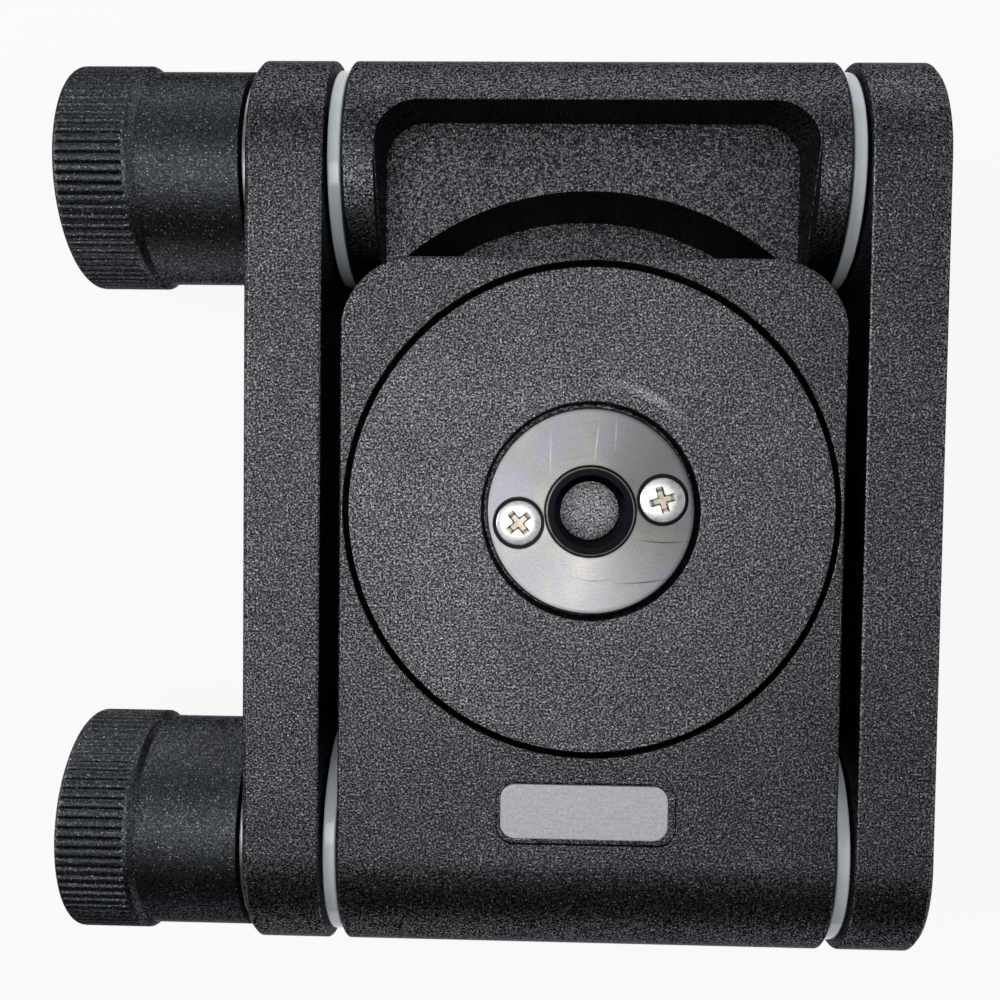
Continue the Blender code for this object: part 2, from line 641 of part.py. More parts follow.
# The captive camera screw is drawn up at rest, with its head standing in the well.
def build_camera_screw(slide_axis, screw_axis):
    centre = (0, SCREW_Y, 0)
    tip = FIT_GAP
    head_bottom = PLATE_TOP + FIT_GAP + SCREW_WASHER_THICKNESS + FIT_GAP + SCREW_TRAVEL
    head_top = head_bottom + SCREW_HEAD_HEIGHT
    steps = 2 * SCREW_RIDGES
    chamfer = SCREW_TIP_CHAMFER
    head_profile = [
        (head_bottom, SCREW_HEAD_RADIUS - chamfer),
        (head_bottom + chamfer, SCREW_HEAD_RADIUS),
        (head_top - chamfer, SCREW_HEAD_RADIUS),
        (head_top, SCREW_HEAD_RADIUS - chamfer),
    ]
    head = turned(head_profile, centre, "Z", steps, wave=SCREW_RIDGE_DEPTH)
    screw = add_solid("camera_screw", head, screw_axis, "nickel_screw")
    thread_profile = [
        (tip, SCREW_THREAD_RADIUS - chamfer),
        (tip + chamfer, SCREW_THREAD_RADIUS),
        (head_bottom + chamfer, SCREW_THREAD_RADIUS),
    ]
    thread = turned(thread_profile, centre, "Z", SMALL_STEPS)
    combine(screw, add_solid("camera_screw_thread", thread, screw_axis), "UNION")
    floor, lip = head_top - SCREW_SLOT_DEPTH, head_top + CUT_OVERRUN
    half_long = SCREW_HEAD_RADIUS + CUT_OVERRUN
    half_wide = SCREW_SLOT_WIDTH / 2
    corners = ((1, 1), (-1, 1), (-1, -1), (1, -1))
    rings = []
    for level in (floor, lip):
        rings.append([Vector((half_long * x, SCREW_Y + half_wide * y, level)) for x, y in corners])
    slot = skin(rings)
    cut(screw, "camera_screw_slot", slot, screw_axis)
    washer_top = head_bottom - FIT_GAP
    bore = SCREW_THREAD_RADIUS + FIT_GAP
    ring = washer(washer_top - SCREW_WASHER_THICKNESS, washer_top, SCREW_WASHER_RADIUS, bore, centre, "Z",
                  ROUND_STEPS // 2)
    add_solid("camera_screw_washer", ring, slide_axis, "zinc_steel")


def build_friction_washers(prefix, y, axis):
    for label, side in (("left", -1), ("right", 1)):
        start = side * (HALF_BARREL + FIT_GAP)
        end = side * (ARM_INNER - FIT_GAP)
        low, high = min(start, end), max(start, end)
        ring = washer(low, high, FRICTION_WASHER_RADIUS, FRICTION_WASHER_BORE, (0, y, HINGE_Z), "X")
        add_solid(f"{prefix}_{label}_washer", ring, axis, "pale_acetal")


def build_pivot_bolt(name, y, axis):
    face = ARM_OUTER - BOLT_HEAD_SINK
    neck = face - BOLT_HEAD_HEIGHT
    centre = (0, y, HINGE_Z)
    profile = [
        (face, BOLT_HEAD_RADIUS - STUD_TIP_CHAMFER),
        (face - STUD_TIP_CHAMFER, BOLT_HEAD_RADIUS),
        (neck, BOLT_HEAD_RADIUS),
        (neck, STUD_RADIUS),
        (STUD_END_X + STUD_TIP_CHAMFER, STUD_RADIUS),
        (STUD_END_X, STUD_RADIUS - STUD_TIP_CHAMFER),
    ]
    bolt = add_solid(name, turned(profile, centre, "X", SMALL_STEPS), axis, "black_oxide")
    socket = rod(face - BOLT_SOCKET_DEPTH, face + CUT_OVERRUN, BOLT_SOCKET_RADIUS, centre, "X", 6)
    cut(bolt, f"{name}_socket", socket, axis)


def build_thrust_washer(name, y, axis):
    outer_face = -(ARM_OUTER + THRUST_WASHER_GAP + THRUST_WASHER_THICKNESS)
    ring = washer(outer_face, outer_face + THRUST_WASHER_THICKNESS, THRUST_WASHER_RADIUS,
                  STUD_HOLE_RADIUS, (0, y, HINGE_Z), "X")
    add_solid(name, ring, axis, "turned_steel")


# A clamp knob: straight knurled grip, plain shoulder and sleeve, with its stud and end cap.
def build_knob(name, y, axis):
    centre = (0, y, HINGE_Z)
    steps = 2 * KNURL_RIDGES
    end = -KNOB_END_REACH
    easing = KNOB_END_ROUND * (1 - math.cos(math.pi / 4))
    grip_profile = [
        (end, KNURL_RADIUS - KNOB_END_ROUND),
        (end + easing, KNURL_RADIUS - easing),
        (end + KNOB_END_ROUND, KNURL_RADIUS),
        (KNURL_START_X, KNURL_RADIUS),
    ]
    knob = add_solid(name, turned(grip_profile, centre, "X", steps, wave=KNURL_DEPTH), axis, "grained_black")
    shoulder_radius = KNURL_RADIUS - KNURL_DEPTH - SLEEVE_EDGE
    sleeve_profile = [
        (KNURL_START_X - KNOB_SHOULDER, shoulder_radius),
        (KNURL_START_X, shoulder_radius),
        (KNURL_START_X + KNOB_SHOULDER, SLEEVE_RADIUS),
        (SLEEVE_END_X - SLEEVE_EDGE, SLEEVE_RADIUS),
        (SLEEVE_END_X, SLEEVE_RADIUS - SLEEVE_EDGE),
    ]
    sleeve = turned(sleeve_profile, centre, "X", ROUND_STEPS)
    combine(knob, add_solid(f"{name}_sleeve_shape", sleeve, axis), "UNION")
    cap_floor = end + KNOB_CAP_SINK + KNOB_CAP_THICKNESS + FIT_GAP
    seat = rod(end - CUT_OVERRUN, cap_floor, KNOB_CAP_RADIUS + FIT_GAP, centre, "X", ROUND_STEPS)
    cut(knob, f"{name}_cap_seat", seat, axis)
    bore = rod(end - CUT_OVERRUN, SLEEVE_END_X + CUT_OVERRUN, STUD_HOLE_RADIUS, centre, "X")
    cut(knob, f"{name}_bore", bore, axis)
    cap_start = end + KNOB_CAP_SINK
    cap_profile = [
        (cap_start, KNOB_CAP_RADIUS - EDGE_CHAMFER),
        (cap_start + EDGE_CHAMFER, KNOB_CAP_RADIUS),
        (cap_start + KNOB_CAP_THICKNESS, KNOB_CAP_RADIUS),
    ]
    add_solid(f"{name}_cap", turned(cap_profile, centre, "X", ROUND_STEPS), axis, "knob_cap_black")
    stud_profile = [
        (cap_floor, STUD_RADIUS),
        (-(STUD_END_X + STUD_TIP_CHAMFER), STUD_RADIUS),
        (-STUD_END_X, STUD_RADIUS - STUD_TIP_CHAMFER),
    ]
    add_solid(f"{name}_stud", turned(stud_profile, centre, "X", SMALL_STEPS), axis, "zinc_steel")


def build_pan_hardware(axis):
    build_pan_disc(axis)
    build_thread_plate(axis)
    build_bushing(axis)
    build_retainer(axis)
    names = ("left", "right")
    for label, place, turn in zip(names, plate_screw_places(), CROSS_TURNS):
        build_small_screw(f"thread_plate_screw_{label}", place, THREAD_PLATE_TOP, PLATE_SCREW_HEAD_RADIUS,
                          PLATE_SCREW_HEAD_HEIGHT, plate_screw_end(), turn, axis)
    for number, place in enumerate(retainer_screw_places(), 1):
        build_small_screw(f"retainer_screw_{number}", place, RETAINER_UNDER, RETAINER_SCREW_HEAD_RADIUS,
                          RETAINER_SCREW_HEAD_HEIGHT, retainer_screw_end(), 0.0, axis)


def build_head():
    clear_scene()
    head = make_axis("tilt_head", (MID_X, 0, 0))
    pan_axis = make_axis("pan_axis", (0, 0, FACE_Z), head)
    lower_axis = make_axis("lower_axis", (0, LOWER_Y, HINGE_Z), head)
    upper_axis = make_axis("upper_axis", (0, UPPER_Y, HINGE_Z), head)
    lower_knob_axis = make_axis("lower_knob_axis", (-ARM_OUTER, LOWER_Y, HINGE_Z), head)
    upper_knob_axis = make_axis("upper_knob_axis", (-ARM_OUTER, UPPER_Y, HINGE_Z), head)
    screw_slide_axis = make_axis("screw_slide_axis", (0, SCREW_Y, PLATE_TOP), head)
    screw_axis = make_axis("screw_axis", (0, SCREW_Y, PLATE_UNDER), head)
    bpy.context.view_layer.update()
    build_base(lower_axis)
    build_label(lower_axis)
    build_pan_rings(pan_axis)
    build_pan_hardware(pan_axis)
    build_friction_washers("lower", LOWER_Y, lower_axis)
    build_arm("left_arm", -1, lower_axis)
    build_arm("right_arm", 1, lower_axis)
    build_pivot_bolt("lower_pivot_bolt", LOWER_Y, lower_axis)
    build_pivot_bolt("upper_pivot_bolt", UPPER_Y, upper_axis)
    build_thrust_washer("lower_thrust_washer", LOWER_Y, lower_axis)
    build_thrust_washer("upper_thrust_washer", UPPER_Y, upper_axis)
    build_friction_washers("upper", UPPER_Y, upper_axis)
    build_camera_section(upper_axis)
    build_pads(upper_axis)
    build_o_ring(upper_axis)
    build_camera_screw(screw_slide_axis, screw_axis)
    build_knob("lower_knob", LOWER_Y, lower_knob_axis)
    build_knob("upper_knob", UPPER_Y, upper_knob_axis)


build_head()
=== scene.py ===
import json
from math import acos, asin, copysign, cos, inf, pi, radians, sin, sqrt

import bmesh
import bpy
from mathutils import Matrix, Vector

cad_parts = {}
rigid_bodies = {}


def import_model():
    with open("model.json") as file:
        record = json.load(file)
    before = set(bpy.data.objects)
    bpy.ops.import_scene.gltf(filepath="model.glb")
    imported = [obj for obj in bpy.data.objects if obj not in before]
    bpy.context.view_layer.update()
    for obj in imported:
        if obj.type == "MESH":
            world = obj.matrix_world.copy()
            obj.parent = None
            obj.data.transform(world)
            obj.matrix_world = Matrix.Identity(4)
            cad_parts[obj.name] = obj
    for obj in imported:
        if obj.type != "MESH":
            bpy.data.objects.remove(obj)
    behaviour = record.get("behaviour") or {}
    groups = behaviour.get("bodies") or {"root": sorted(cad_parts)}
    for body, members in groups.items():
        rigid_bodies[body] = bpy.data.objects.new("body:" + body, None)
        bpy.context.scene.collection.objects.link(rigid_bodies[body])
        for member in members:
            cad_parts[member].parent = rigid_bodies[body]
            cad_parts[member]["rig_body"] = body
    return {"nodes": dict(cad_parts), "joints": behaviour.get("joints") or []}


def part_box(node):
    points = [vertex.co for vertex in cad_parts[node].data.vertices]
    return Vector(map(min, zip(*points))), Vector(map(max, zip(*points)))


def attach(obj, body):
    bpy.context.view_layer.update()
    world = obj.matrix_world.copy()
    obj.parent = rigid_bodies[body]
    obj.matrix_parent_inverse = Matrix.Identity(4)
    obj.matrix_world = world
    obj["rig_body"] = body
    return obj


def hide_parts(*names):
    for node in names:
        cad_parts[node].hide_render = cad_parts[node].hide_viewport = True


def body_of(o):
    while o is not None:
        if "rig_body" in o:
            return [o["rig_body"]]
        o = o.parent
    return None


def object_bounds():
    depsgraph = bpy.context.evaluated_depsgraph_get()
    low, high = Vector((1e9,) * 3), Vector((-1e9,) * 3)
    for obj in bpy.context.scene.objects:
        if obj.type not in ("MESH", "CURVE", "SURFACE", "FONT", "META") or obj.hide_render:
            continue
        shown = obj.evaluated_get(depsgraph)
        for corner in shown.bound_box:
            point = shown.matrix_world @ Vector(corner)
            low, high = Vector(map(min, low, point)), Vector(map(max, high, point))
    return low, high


# Folding tilt head, folded flat: fine shapes, finishes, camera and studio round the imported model.
# Pieces are drawn in the head's own places, with X = 0 midway between the arms. Metres, +Z up.
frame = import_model()
cad_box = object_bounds()


def joint_place(name):
    return next(Vector(joint["pos_m"]) for joint in frame["joints"] if joint["name"] == name)


def low(node):
    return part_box(node)[0]


def high(node):
    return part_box(node)[1]


# A node's two ends along X, from the middle between the arms
def x_ends(node):
    return low(node).x - MID_X, high(node).x - MID_X


# Places read from the frame
MID_X, LOWER_Y, HINGE_Z = joint_place("lower_tilt")
UPPER_Y = joint_place("upper_tilt").y
SCREW_Y = joint_place("camera_screw_turn").y
FACE_Z = high("base_plate").z
END_RADIUS = FACE_Z - HINGE_Z
HALF_BARREL = x_ends("base_plate")[1]
ARM_INNER, ARM_OUTER = x_ends("right_arm")
BASE_END_Y = high("base_plate").y
PLATE_UNDER = low("camera_section").z
HUB_UNDER = low("pan_disc").z
PAN_DISC_RADIUS = high("pan_disc").y
THREAD_PLATE_TOP = high("thread_plate").z
THREAD_PLATE_UNDER = low("thread_plate").z
KNOB_END_X, SLEEVE_END_X = x_ends("lower_knob")
PAN_AXIS = (0, 0, 0)
SCREW_AXIS = (0, SCREW_Y, 0)

# General clearances and edges
FIT_GAP = 0.0003
OVERRUN = 0.0030
EDGE = 0.00030
EASE = 0.00012
SUPPORT = 0.0004
SHARP_ANGLE = radians(40)

# Arms
ARM_OUTER_CHAMFER = 0.0006
ARM_INNER_CHAMFER = 0.0002

# Camera section
CAMERA_PLATE_THICKNESS = 0.0053
CAMERA_PLATE_CORNER = 0.0050
CAMERA_PLATE_CHAMFER = 0.0006
POCKET_WIDTH = 0.0466
POCKET_DEPTH = 0.0101
POCKET_REACH = 0.0059
POCKET_CORNER = 0.0046
WELL_RADIUS = 0.0330
WEB_REACH = 0.0050
WEB_SINK = 0.0010
PAD_LENGTH = 0.0560
PAD_BREADTH = 0.0130
PAD_CORNER = 0.0025
PAD_RIBS = 9
PAD_RIB_DEPTH = 0.0004
PAD_RIB_WIDTH = 0.0005

# Captive camera screw
SCREW_THREAD_RADIUS = 0.0031
SCREW_HOLE_RADIUS = 0.0034
SCREW_HEAD_HEIGHT = 0.0034
SCREW_SLOT_WIDTH = 0.0016
SCREW_SLOT_DEPTH = 0.0014
SCREW_RIDGES = 36
SCREW_RIDGE_DEPTH = 0.0004
CAMERA_THREAD_PITCH = 0.00127
CAMERA_THREAD_DEPTH = 0.0006

# Base section
BASE_PLATE_THICKNESS = 0.0087
BASE_CORNER_RADIUS = 0.0080
SWING_CLEARANCE = 0.0004
PAN_SEAT_RADIUS = 0.0263
PAN_SEAT_DEPTH = 0.0048
PAN_BORE_RADIUS = 0.0150
LABEL_RECESS_LENGTH = 0.0192
LABEL_RECESS_BREADTH = 0.0067
LABEL_RECESS_DEPTH = 0.0007
LABEL_RECESS_CORNER = 0.0019
LABEL_RECESS_Y = -0.0324
LABEL_CORNER = 0.0016
LABEL_EASE = 0.00008

# Pan disc and tripod thread
PAN_FLANGE_THICKNESS = 0.0035
HUB_RADIUS = 0.0147
THREAD_RECESS_RADIUS = 0.0116
THREAD_PLATE_CHAMFER = 0.0002
PLATE_SCREW_CIRCLE = 0.0077
PLATE_SCREW_ANGLE = radians(9.8)
PLATE_SCREW_HEAD_RADIUS = 0.0024
PLATE_SCREW_HEAD_HEIGHT = 0.0011
PLATE_SCREW_POCKET_RADIUS = 0.0027
SMALL_SCREW_SHANK_RADIUS = 0.0011
RETAINER_SCREW_CIRCLE = 0.0098
RETAINER_SCREW_HEAD_RADIUS = 0.0023
RETAINER_SCREW_HEAD_HEIGHT = 0.0013
CROSS_LENGTH = 0.0030
CROSS_WIDTH = 0.00084
CROSS_DEPTH = 0.0006
CROSS_TAPER_SHARE = 0.62
CROSS_TURNS = (radians(40), radians(17))
HEAD_CROWN = 0.00012
HEAD_CROWN_SHARE = 0.6
BUSHING_RADIUS = 0.00475
BUSHING_BORE_RADIUS = 0.00318
BUSHING_CHAMFER = 0.0002
BUSHING_COUNTERSINK = 0.0007
TRIPOD_HOLE_DEPTH = 0.0085

# Hinge hardware
STUD_RADIUS = 0.0025
STUD_TIP_CHAMFER = 0.0005
FRICTION_WASHER_BORE = 0.0050
BOLT_HEAD_RADIUS = 0.00425
BOLT_HEAD_HEIGHT = 0.0050
BOLT_SOCKET_RADIUS = 0.0023
BOLT_SOCKET_DEPTH = 0.0025
BOLT_SOCKET_SIDES = 6
STUD_THREAD_PITCH = 0.0008
STUD_THREAD_DEPTH = 0.0004

# Clamp knobs
KNURL_RADIUS = 0.01248
KNURL_LENGTH = 0.0082
KNURL_RIDGES = 72
KNURL_DEPTH = 0.00023
KNURL_RUNOUT = 0.0003
KNURL_RIM = 0.0004
GROOVE_SHARPNESS = 3.5
KNOB_END_ROUND = 0.0008
KNOB_SHOULDER = 0.0006
SLEEVE_RADIUS = 0.0119
KNOB_CAP_RADIUS = 0.0085
KNOB_CAP_DISH = 0.0003
KNOB_CAP_FLOOR_SHARE = 0.72
KNOB_CAP_RIM_SHARE = 0.80

# Fineness of the round shapes
BARREL_STEPS = 72
DISC_STEPS = 200
ROUND_STEPS = 128
SMALL_STEPS = 48
CORNER_STEPS = 16
EASE_STEPS = 3
EASE_PARTS = 2.2
THREAD_STEPS = 8
RIDGE_STEPS = 8

# Levels and radii that follow
PLATE_TOP = PLATE_UNDER + CAMERA_PLATE_THICKNESS
BASE_UNDER = FACE_Z - BASE_PLATE_THICKNESS
STUD_HOLE_RADIUS = STUD_RADIUS + FIT_GAP
STUD_THREAD_ROOT = STUD_RADIUS - STUD_THREAD_DEPTH
SMALL_SCREW_HOLE_RADIUS = SMALL_SCREW_SHANK_RADIUS + FIT_GAP

# The four corners of a plan shape, in turn
QUARTERS = ((1, 1), (-1, 1), (-1, -1), (1, -1))

# Rim of the pocket in the barrel: (drop, spread), as shares of EASE
POCKET_RIM = ((-1.0, 0.0), (-0.35, 0.1), (-0.1, 0.35), (0.0, 1.0))

# Noises as (scale, detail, roughness)
GRAIN = (4700, 2.0, 0.62)
FINE_GRAIN = (8200, 1.0, 0.5)
SHADE_CLOUD = (110, 3.0, 0.6)
STEEL_SECTOR = (1.3, 1.0, 0.5)
STEEL_STAIN = (260, 2.0, 0.5)
STEEL_MOTTLE = (5200, 2.0, 0.5)
LABEL_FIBRES = (6000, 3.0, 0.6)
LABEL_MOTTLE = (3400, 2.0, 0.5)

# Scales of the bright specks and of the turned rings
SPECK_SCALE = 3000
RING_SCALE = 5200

# Tones over a noise: (value, colour)
GRAIN_TONES = ((0.37, (0.014, 0.0145, 0.017)), (0.50, (0.068, 0.0685, 0.074)), (0.66, (0.36, 0.36, 0.375)))
KNOB_TONES = ((0.34, (0.028, 0.031, 0.034)), (0.50, (0.062, 0.066, 0.071)), (0.70, (0.165, 0.17, 0.18)))
SHEEN_TONES = ((0.34, (0.15, 0.155, 0.18)), (0.50, (0.23, 0.235, 0.26)), (0.70, (0.40, 0.40, 0.43)))
# Painted light on the floor of the tripod hole
HOLE_PAINTED_LIGHT_TONES = ((0.36, (0.05, 0.05, 0.055)), (0.50, (0.36, 0.36, 0.37)), (0.68, (0.80, 0.80, 0.80)))
STAIN_TONES = ((0.36, (0.505, 0.480, 0.435)), (0.50, (0.445, 0.448, 0.446)), (0.64, (0.450, 0.436, 0.480)))
OXIDE_TONES = ((0.40, (0.009, 0.010, 0.014)), (0.62, (0.016, 0.018, 0.023)), (0.74, (0.060, 0.062, 0.066)))
NICKEL_TONES = ((0.28, (0.76, 0.74, 0.70)), (0.42, (0.86, 0.85, 0.82)), (0.70, (0.90, 0.89, 0.87)))

# Worn spots, the brown of sunk screw surfaces, and the painted shade of the screw pockets
RUBBED_METAL = (0.56, 0.55, 0.55, 1)
BARE_RIM = (0.55, 0.55, 0.55, 1)
SUNK_SCREW_BROWN = (0.46, 0.39, 0.31, 1)
POCKET_PAINTED_SHADE = (0.03, 0.028, 0.026, 1)

# The arc rubbed into the disc: its circle, and its middle and half spread as angles
SCUFF_RADIUS = 0.0137
SCUFF_HALF_WIDTH = 0.0007
SCUFF_ANGLE = 1.10
SCUFF_HALF_SPREAD = 0.42

# The side toward which the thread plate is painted lighter, a painted reflection, and its marks: start,
# end, half width, bow, strength, tone
STEEL_PAINTED_LIGHT_SIDE = (-0.72, -0.69, 0.0)
STEEL_SCRATCHES = (
    ((0.0003, 0.0049), (0.0008, 0.0098), 0.00009, 0.0, 0.9, 0.62),
    ((-0.0043, 0.0026), (-0.0043, 0.0092), 0.00012, 0.0, 0.8, 0.66),
    ((0.0025, 0.0060), (0.0026, 0.0104), 0.00010, 0.0, 0.6, 0.60),
    ((-0.0035, -0.0076), (-0.0034, -0.0038), 0.00010, 0.0, 0.6, 0.66),
    ((0.0044, -0.0028), (0.0108, -0.0029), 0.00012, 0.0003, 1.0, 0.05),
    ((0.0024, -0.0076), (0.0092, -0.0068), 0.00012, 0.0002, 1.0, 0.06),
    ((-0.0022, -0.0068), (0.0028, -0.0069), 0.00014, 0.0005, 0.6, 0.10),
    ((-0.0030, 0.0056), (0.0004, 0.0062), 0.00018, 0.0002, 0.35, 0.16),
)

# The photograph's camera, close above the tripod face and a little off square
CAMERA_PLACE = (0.005813, 0.004407, 0.155675)
CAMERA_TURNS = (("Y", 1.643), ("X", -2.31), ("Z", 0.74))
CAMERA_LENS = 41.78
CAMERA_SENSOR = 36
CAMERA_SHIFT = (-0.0133, 0.0158)
CAMERA_CLIP = (0.001, 20)

# Studio: heights and colours of the world, then the floor and the dark card
HORIZON = (0.16, (0.945, 0.95, 0.96))
CEILING = (0.42, (0.27, 0.287, 0.305))
FLOOR_REACH = 3.0
FLOOR_GLOW = 0.90
CARD_REACH = 0.7
CARD_Y = -0.30
CARD_TOP = 0.45

# Lamps: name, place, size, power, colour
LAMPS = (
    ("overhead", (-0.034, -0.004, 0.55), (0.20, 0.24), 0.40, (0.985, 0.99, 1.0)),
    ("window", (0.01, 0.80, 0.14), (0.90, 0.14), 0.12, (0.78, 0.89, 1.0)),
    ("left_box", (-0.66, 0.08, 0.50), (0.40, 0.35), 2.3, (1.0, 0.985, 0.97)),
    ("right_box", (0.68, 0.05, 0.50), (0.40, 0.35), 0.35, (0.95, 0.975, 1.0)),
)


def ring_places(circle, angles):
    return [(circle * cos(angle), circle * sin(angle), 0) for angle in angles]


PLATE_SCREW_PLACES = ring_places(PLATE_SCREW_CIRCLE, (pi + PLATE_SCREW_ANGLE, PLATE_SCREW_ANGLE))
RETAINER_SCREW_PLACES = ring_places(RETAINER_SCREW_CIRCLE, [pi / 2 + 2 * pi * k / 3 for k in range(3)])


# Joins rings of equally many points into one closed skin with a cap at each end.
def skin(rings, closed=False):
    bm = bmesh.new()
    loops = [[bm.verts.new(point) for point in ring] for ring in rings]
    count = len(loops[0])
    pairs = list(zip(loops, loops[1:]))
    if closed:
        pairs.append((loops[-1], loops[0]))
    else:
        bm.faces.new(loops[0])
        bm.faces.new(reversed(loops[-1]))
    for first, second in pairs:
        for k in range(count):
            n = (k + 1) % count
            bm.faces.new((first[k], second[k], second[n], first[n]))
    return bm


# Rounds each inner corner of a run of points, or each corner of a closed one.
def eased(points, reach=EASE, closed=False):
    points = [Vector(point) for point in points]
    run = []
    for k, here in enumerate(points):
        if not closed and k in (0, len(points) - 1):
            run.append(here)
            continue
        before, after = points[k - 1] - here, points[(k + 1) % len(points)] - here
        start = here + before.normalized() * min(reach, before.length / EASE_PARTS)
        end = here + after.normalized() * min(reach, after.length / EASE_PARTS)
        for n in range(EASE_STEPS + 1):
            t = n / EASE_STEPS
            run.append((1 - t) ** 2 * start + 2 * t * (1 - t) * here + t * t * end)
    return run


# Points round (a, b), from the start angle through the sweep.
def arc(a, b, radius, start, sweep, steps):
    angles = [start + sweep * k / steps for k in range(steps + 1)]
    return [(a + radius * cos(angle), b + radius * sin(angle)) for angle in angles]


# Turns a profile of (distance along, radius) about a line through centre along X or Z.
# shape, if given, returns the radius for (along, radius, angle).
def turned(profile, centre, direction, steps, closed=False, shape=None):
    rings = []
    for along, radius in profile:
        ring = []
        for k in range(steps):
            angle = 2 * pi * k / steps
            reach = shape(along, radius, angle) if shape else radius
            across, up = reach * cos(angle), reach * sin(angle)
            if direction == "X":
                ring.append((along, centre[1] + across, centre[2] + up))
            else:
                ring.append((centre[0] + across, centre[1] + up, along))
        rings.append(ring)
    return skin(rings, closed)


def rod(start, end, radius, centre, direction, steps=SMALL_STEPS):
    return turned([(start, radius), (end, radius)], centre, direction, steps)


def washer(start, end, outer, bore, centre, direction, reach=EASE):
    profile = [(start, bore), (start, outer), (end, outer), (end, bore)]
    return turned(eased(profile, reach, closed=True), centre, direction, ROUND_STEPS, closed=True)


# A straight cutter whose mouth opens out, so that it leaves a rounded rim at the level of the face.
def flared_rod(floor, face, radius, centre, direction, steps=ROUND_STEPS):
    rim = copysign(EASE, face - floor)
    wide = radius + 2 * EASE
    profile = eased([(floor, radius), (face - rim, radius), (face, radius + EASE), (face + rim, wide)])
    profile.append((face + copysign(OVERRUN, rim), wide))
    return turned(profile, centre, direction, steps)


def rounded_outline(x, y, half_x, half_y, corner, inset=0.0):
    points = []
    for quarter, (side_x, side_y) in enumerate(QUARTERS):
        points += arc(x + side_x * (half_x - corner), y + side_y * (half_y - corner), corner - inset,
                      quarter * pi / 2, pi / 2, CORNER_STEPS)
    return points


# Rounds the edge between an end face and the side: (level, inset) pairs from end face to end face.
def edge_levels(start, end, start_chamfer, end_chamfer, reach=EASE):
    away = copysign(1, end - start)
    corners = [
        (start, start_chamfer + SUPPORT),
        (start, start_chamfer),
        (start + away * start_chamfer, 0.0),
        (end - away * end_chamfer, 0.0),
        (end, end_chamfer),
        (end, end_chamfer + SUPPORT),
    ]
    return eased(corners, reach)


def slab(x, y, half_x, half_y, corner, levels):
    return skin([[(px, py, level) for px, py in rounded_outline(x, y, half_x, half_y, corner, inset)]
                 for level, inset in levels])


# A cutter with a rounded rectangle's outline and a mouth that opens out at the level of the face.
def flared_slab(x, y, half_x, half_y, corner, floor, face):
    rim = copysign(EASE, face - floor)
    levels = [(floor, 0.0), (face - rim, 0.0), (face - rim / 3, -EASE / 3), (face, -EASE)]
    levels.append((face + copysign(OVERRUN, rim), -EASE))
    return slab(x, y, half_x, half_y, corner, levels)


def side_skin(levels, outline):
    return skin([[(x, y, z) for y, z in outline(inset)] for x, inset in levels])


# A thread's radius, cut into the solid from its crest radius.
def thread(crest, depth, pitch, start, end):
    def shape(along, radius, angle):
        if abs(radius - crest) > 1e-6 or not start < along < end:
            return radius
        phase = (along / pitch + angle / (2 * pi)) % 1
        return radius + depth * (1 - abs(2 * phase - 1))
    return shape


def thread_levels(start, end, radius, pitch):
    count = max(2, round(THREAD_STEPS * (end - start) / pitch))
    return [(start + (end - start) * k / count, radius) for k in range(count + 1)]


# A wave of grooves that fade out at stop, over a runout.
def ridged(crest, depth, count, stop=inf):
    def shape(along, radius, angle):
        phase = (angle * count / (2 * pi)) % 1
        fade = min(1.0, max(0.0, (stop - along) / KNURL_RUNOUT))
        return min(radius, crest - fade * depth * abs(2 * phase - 1) ** GROOVE_SHARPNESS)
    return shape


def link(name, bm):
    bmesh.ops.recalc_face_normals(bm, faces=bm.faces)
    mesh = bpy.data.meshes.new(name)
    bm.to_mesh(mesh)
    bm.free()
    solid = bpy.data.objects.new(name, mesh)
    bpy.context.scene.collection.objects.link(solid)
    return solid


def cuts(*shapes):
    return [("DIFFERENCE", shape) for shape in shapes]


# Carries out a list of (operation, shape) steps on a first shape and returns the mesh.
def carved(name, bm, steps):
    solid = link(name, bm)
    tools = []
    for operation, shape in steps:
        tools.append(link(f"{name}_tool", shape))
        modifier = solid.modifiers.new("carve", "BOOLEAN")
        modifier.operation = operation
        modifier.solver = "EXACT"
        modifier.object = tools[-1]
    graph = bpy.context.evaluated_depsgraph_get()
    mesh = bpy.data.meshes.new_from_object(solid.evaluated_get(graph))
    for item in (*tools, solid):
        bpy.data.objects.remove(item, do_unlink=True)
    return mesh


# Puts a finished shape in the place of the CAD node that it stands for.
def add_piece(node, shape, finish, steps=()):
    mesh = carved(node, shape, steps)
    mesh.name = f"{node}_fine"
    mesh.materials.clear()
    mesh.materials.append(materials[finish])
    mesh.shade_smooth()
    mesh.set_sharp_from_angle(angle=SHARP_ANGLE)
    piece = bpy.data.objects.new(f"{node}_fine", mesh)
    bpy.context.scene.collection.objects.link(piece)
    piece.location.x = MID_X
    piece.modifiers.new("face_normals", "WEIGHTED_NORMAL").keep_sharp = True
    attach(piece, body_of(frame["nodes"][node])[0])
    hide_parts(node)


def set_stops(ramp, stops):
    while len(ramp.elements) < len(stops):
        ramp.elements.new(0.5)
    for element, (position, colour) in zip(ramp.elements, stops):
        element.position = position
        element.color = (*colour, 1)


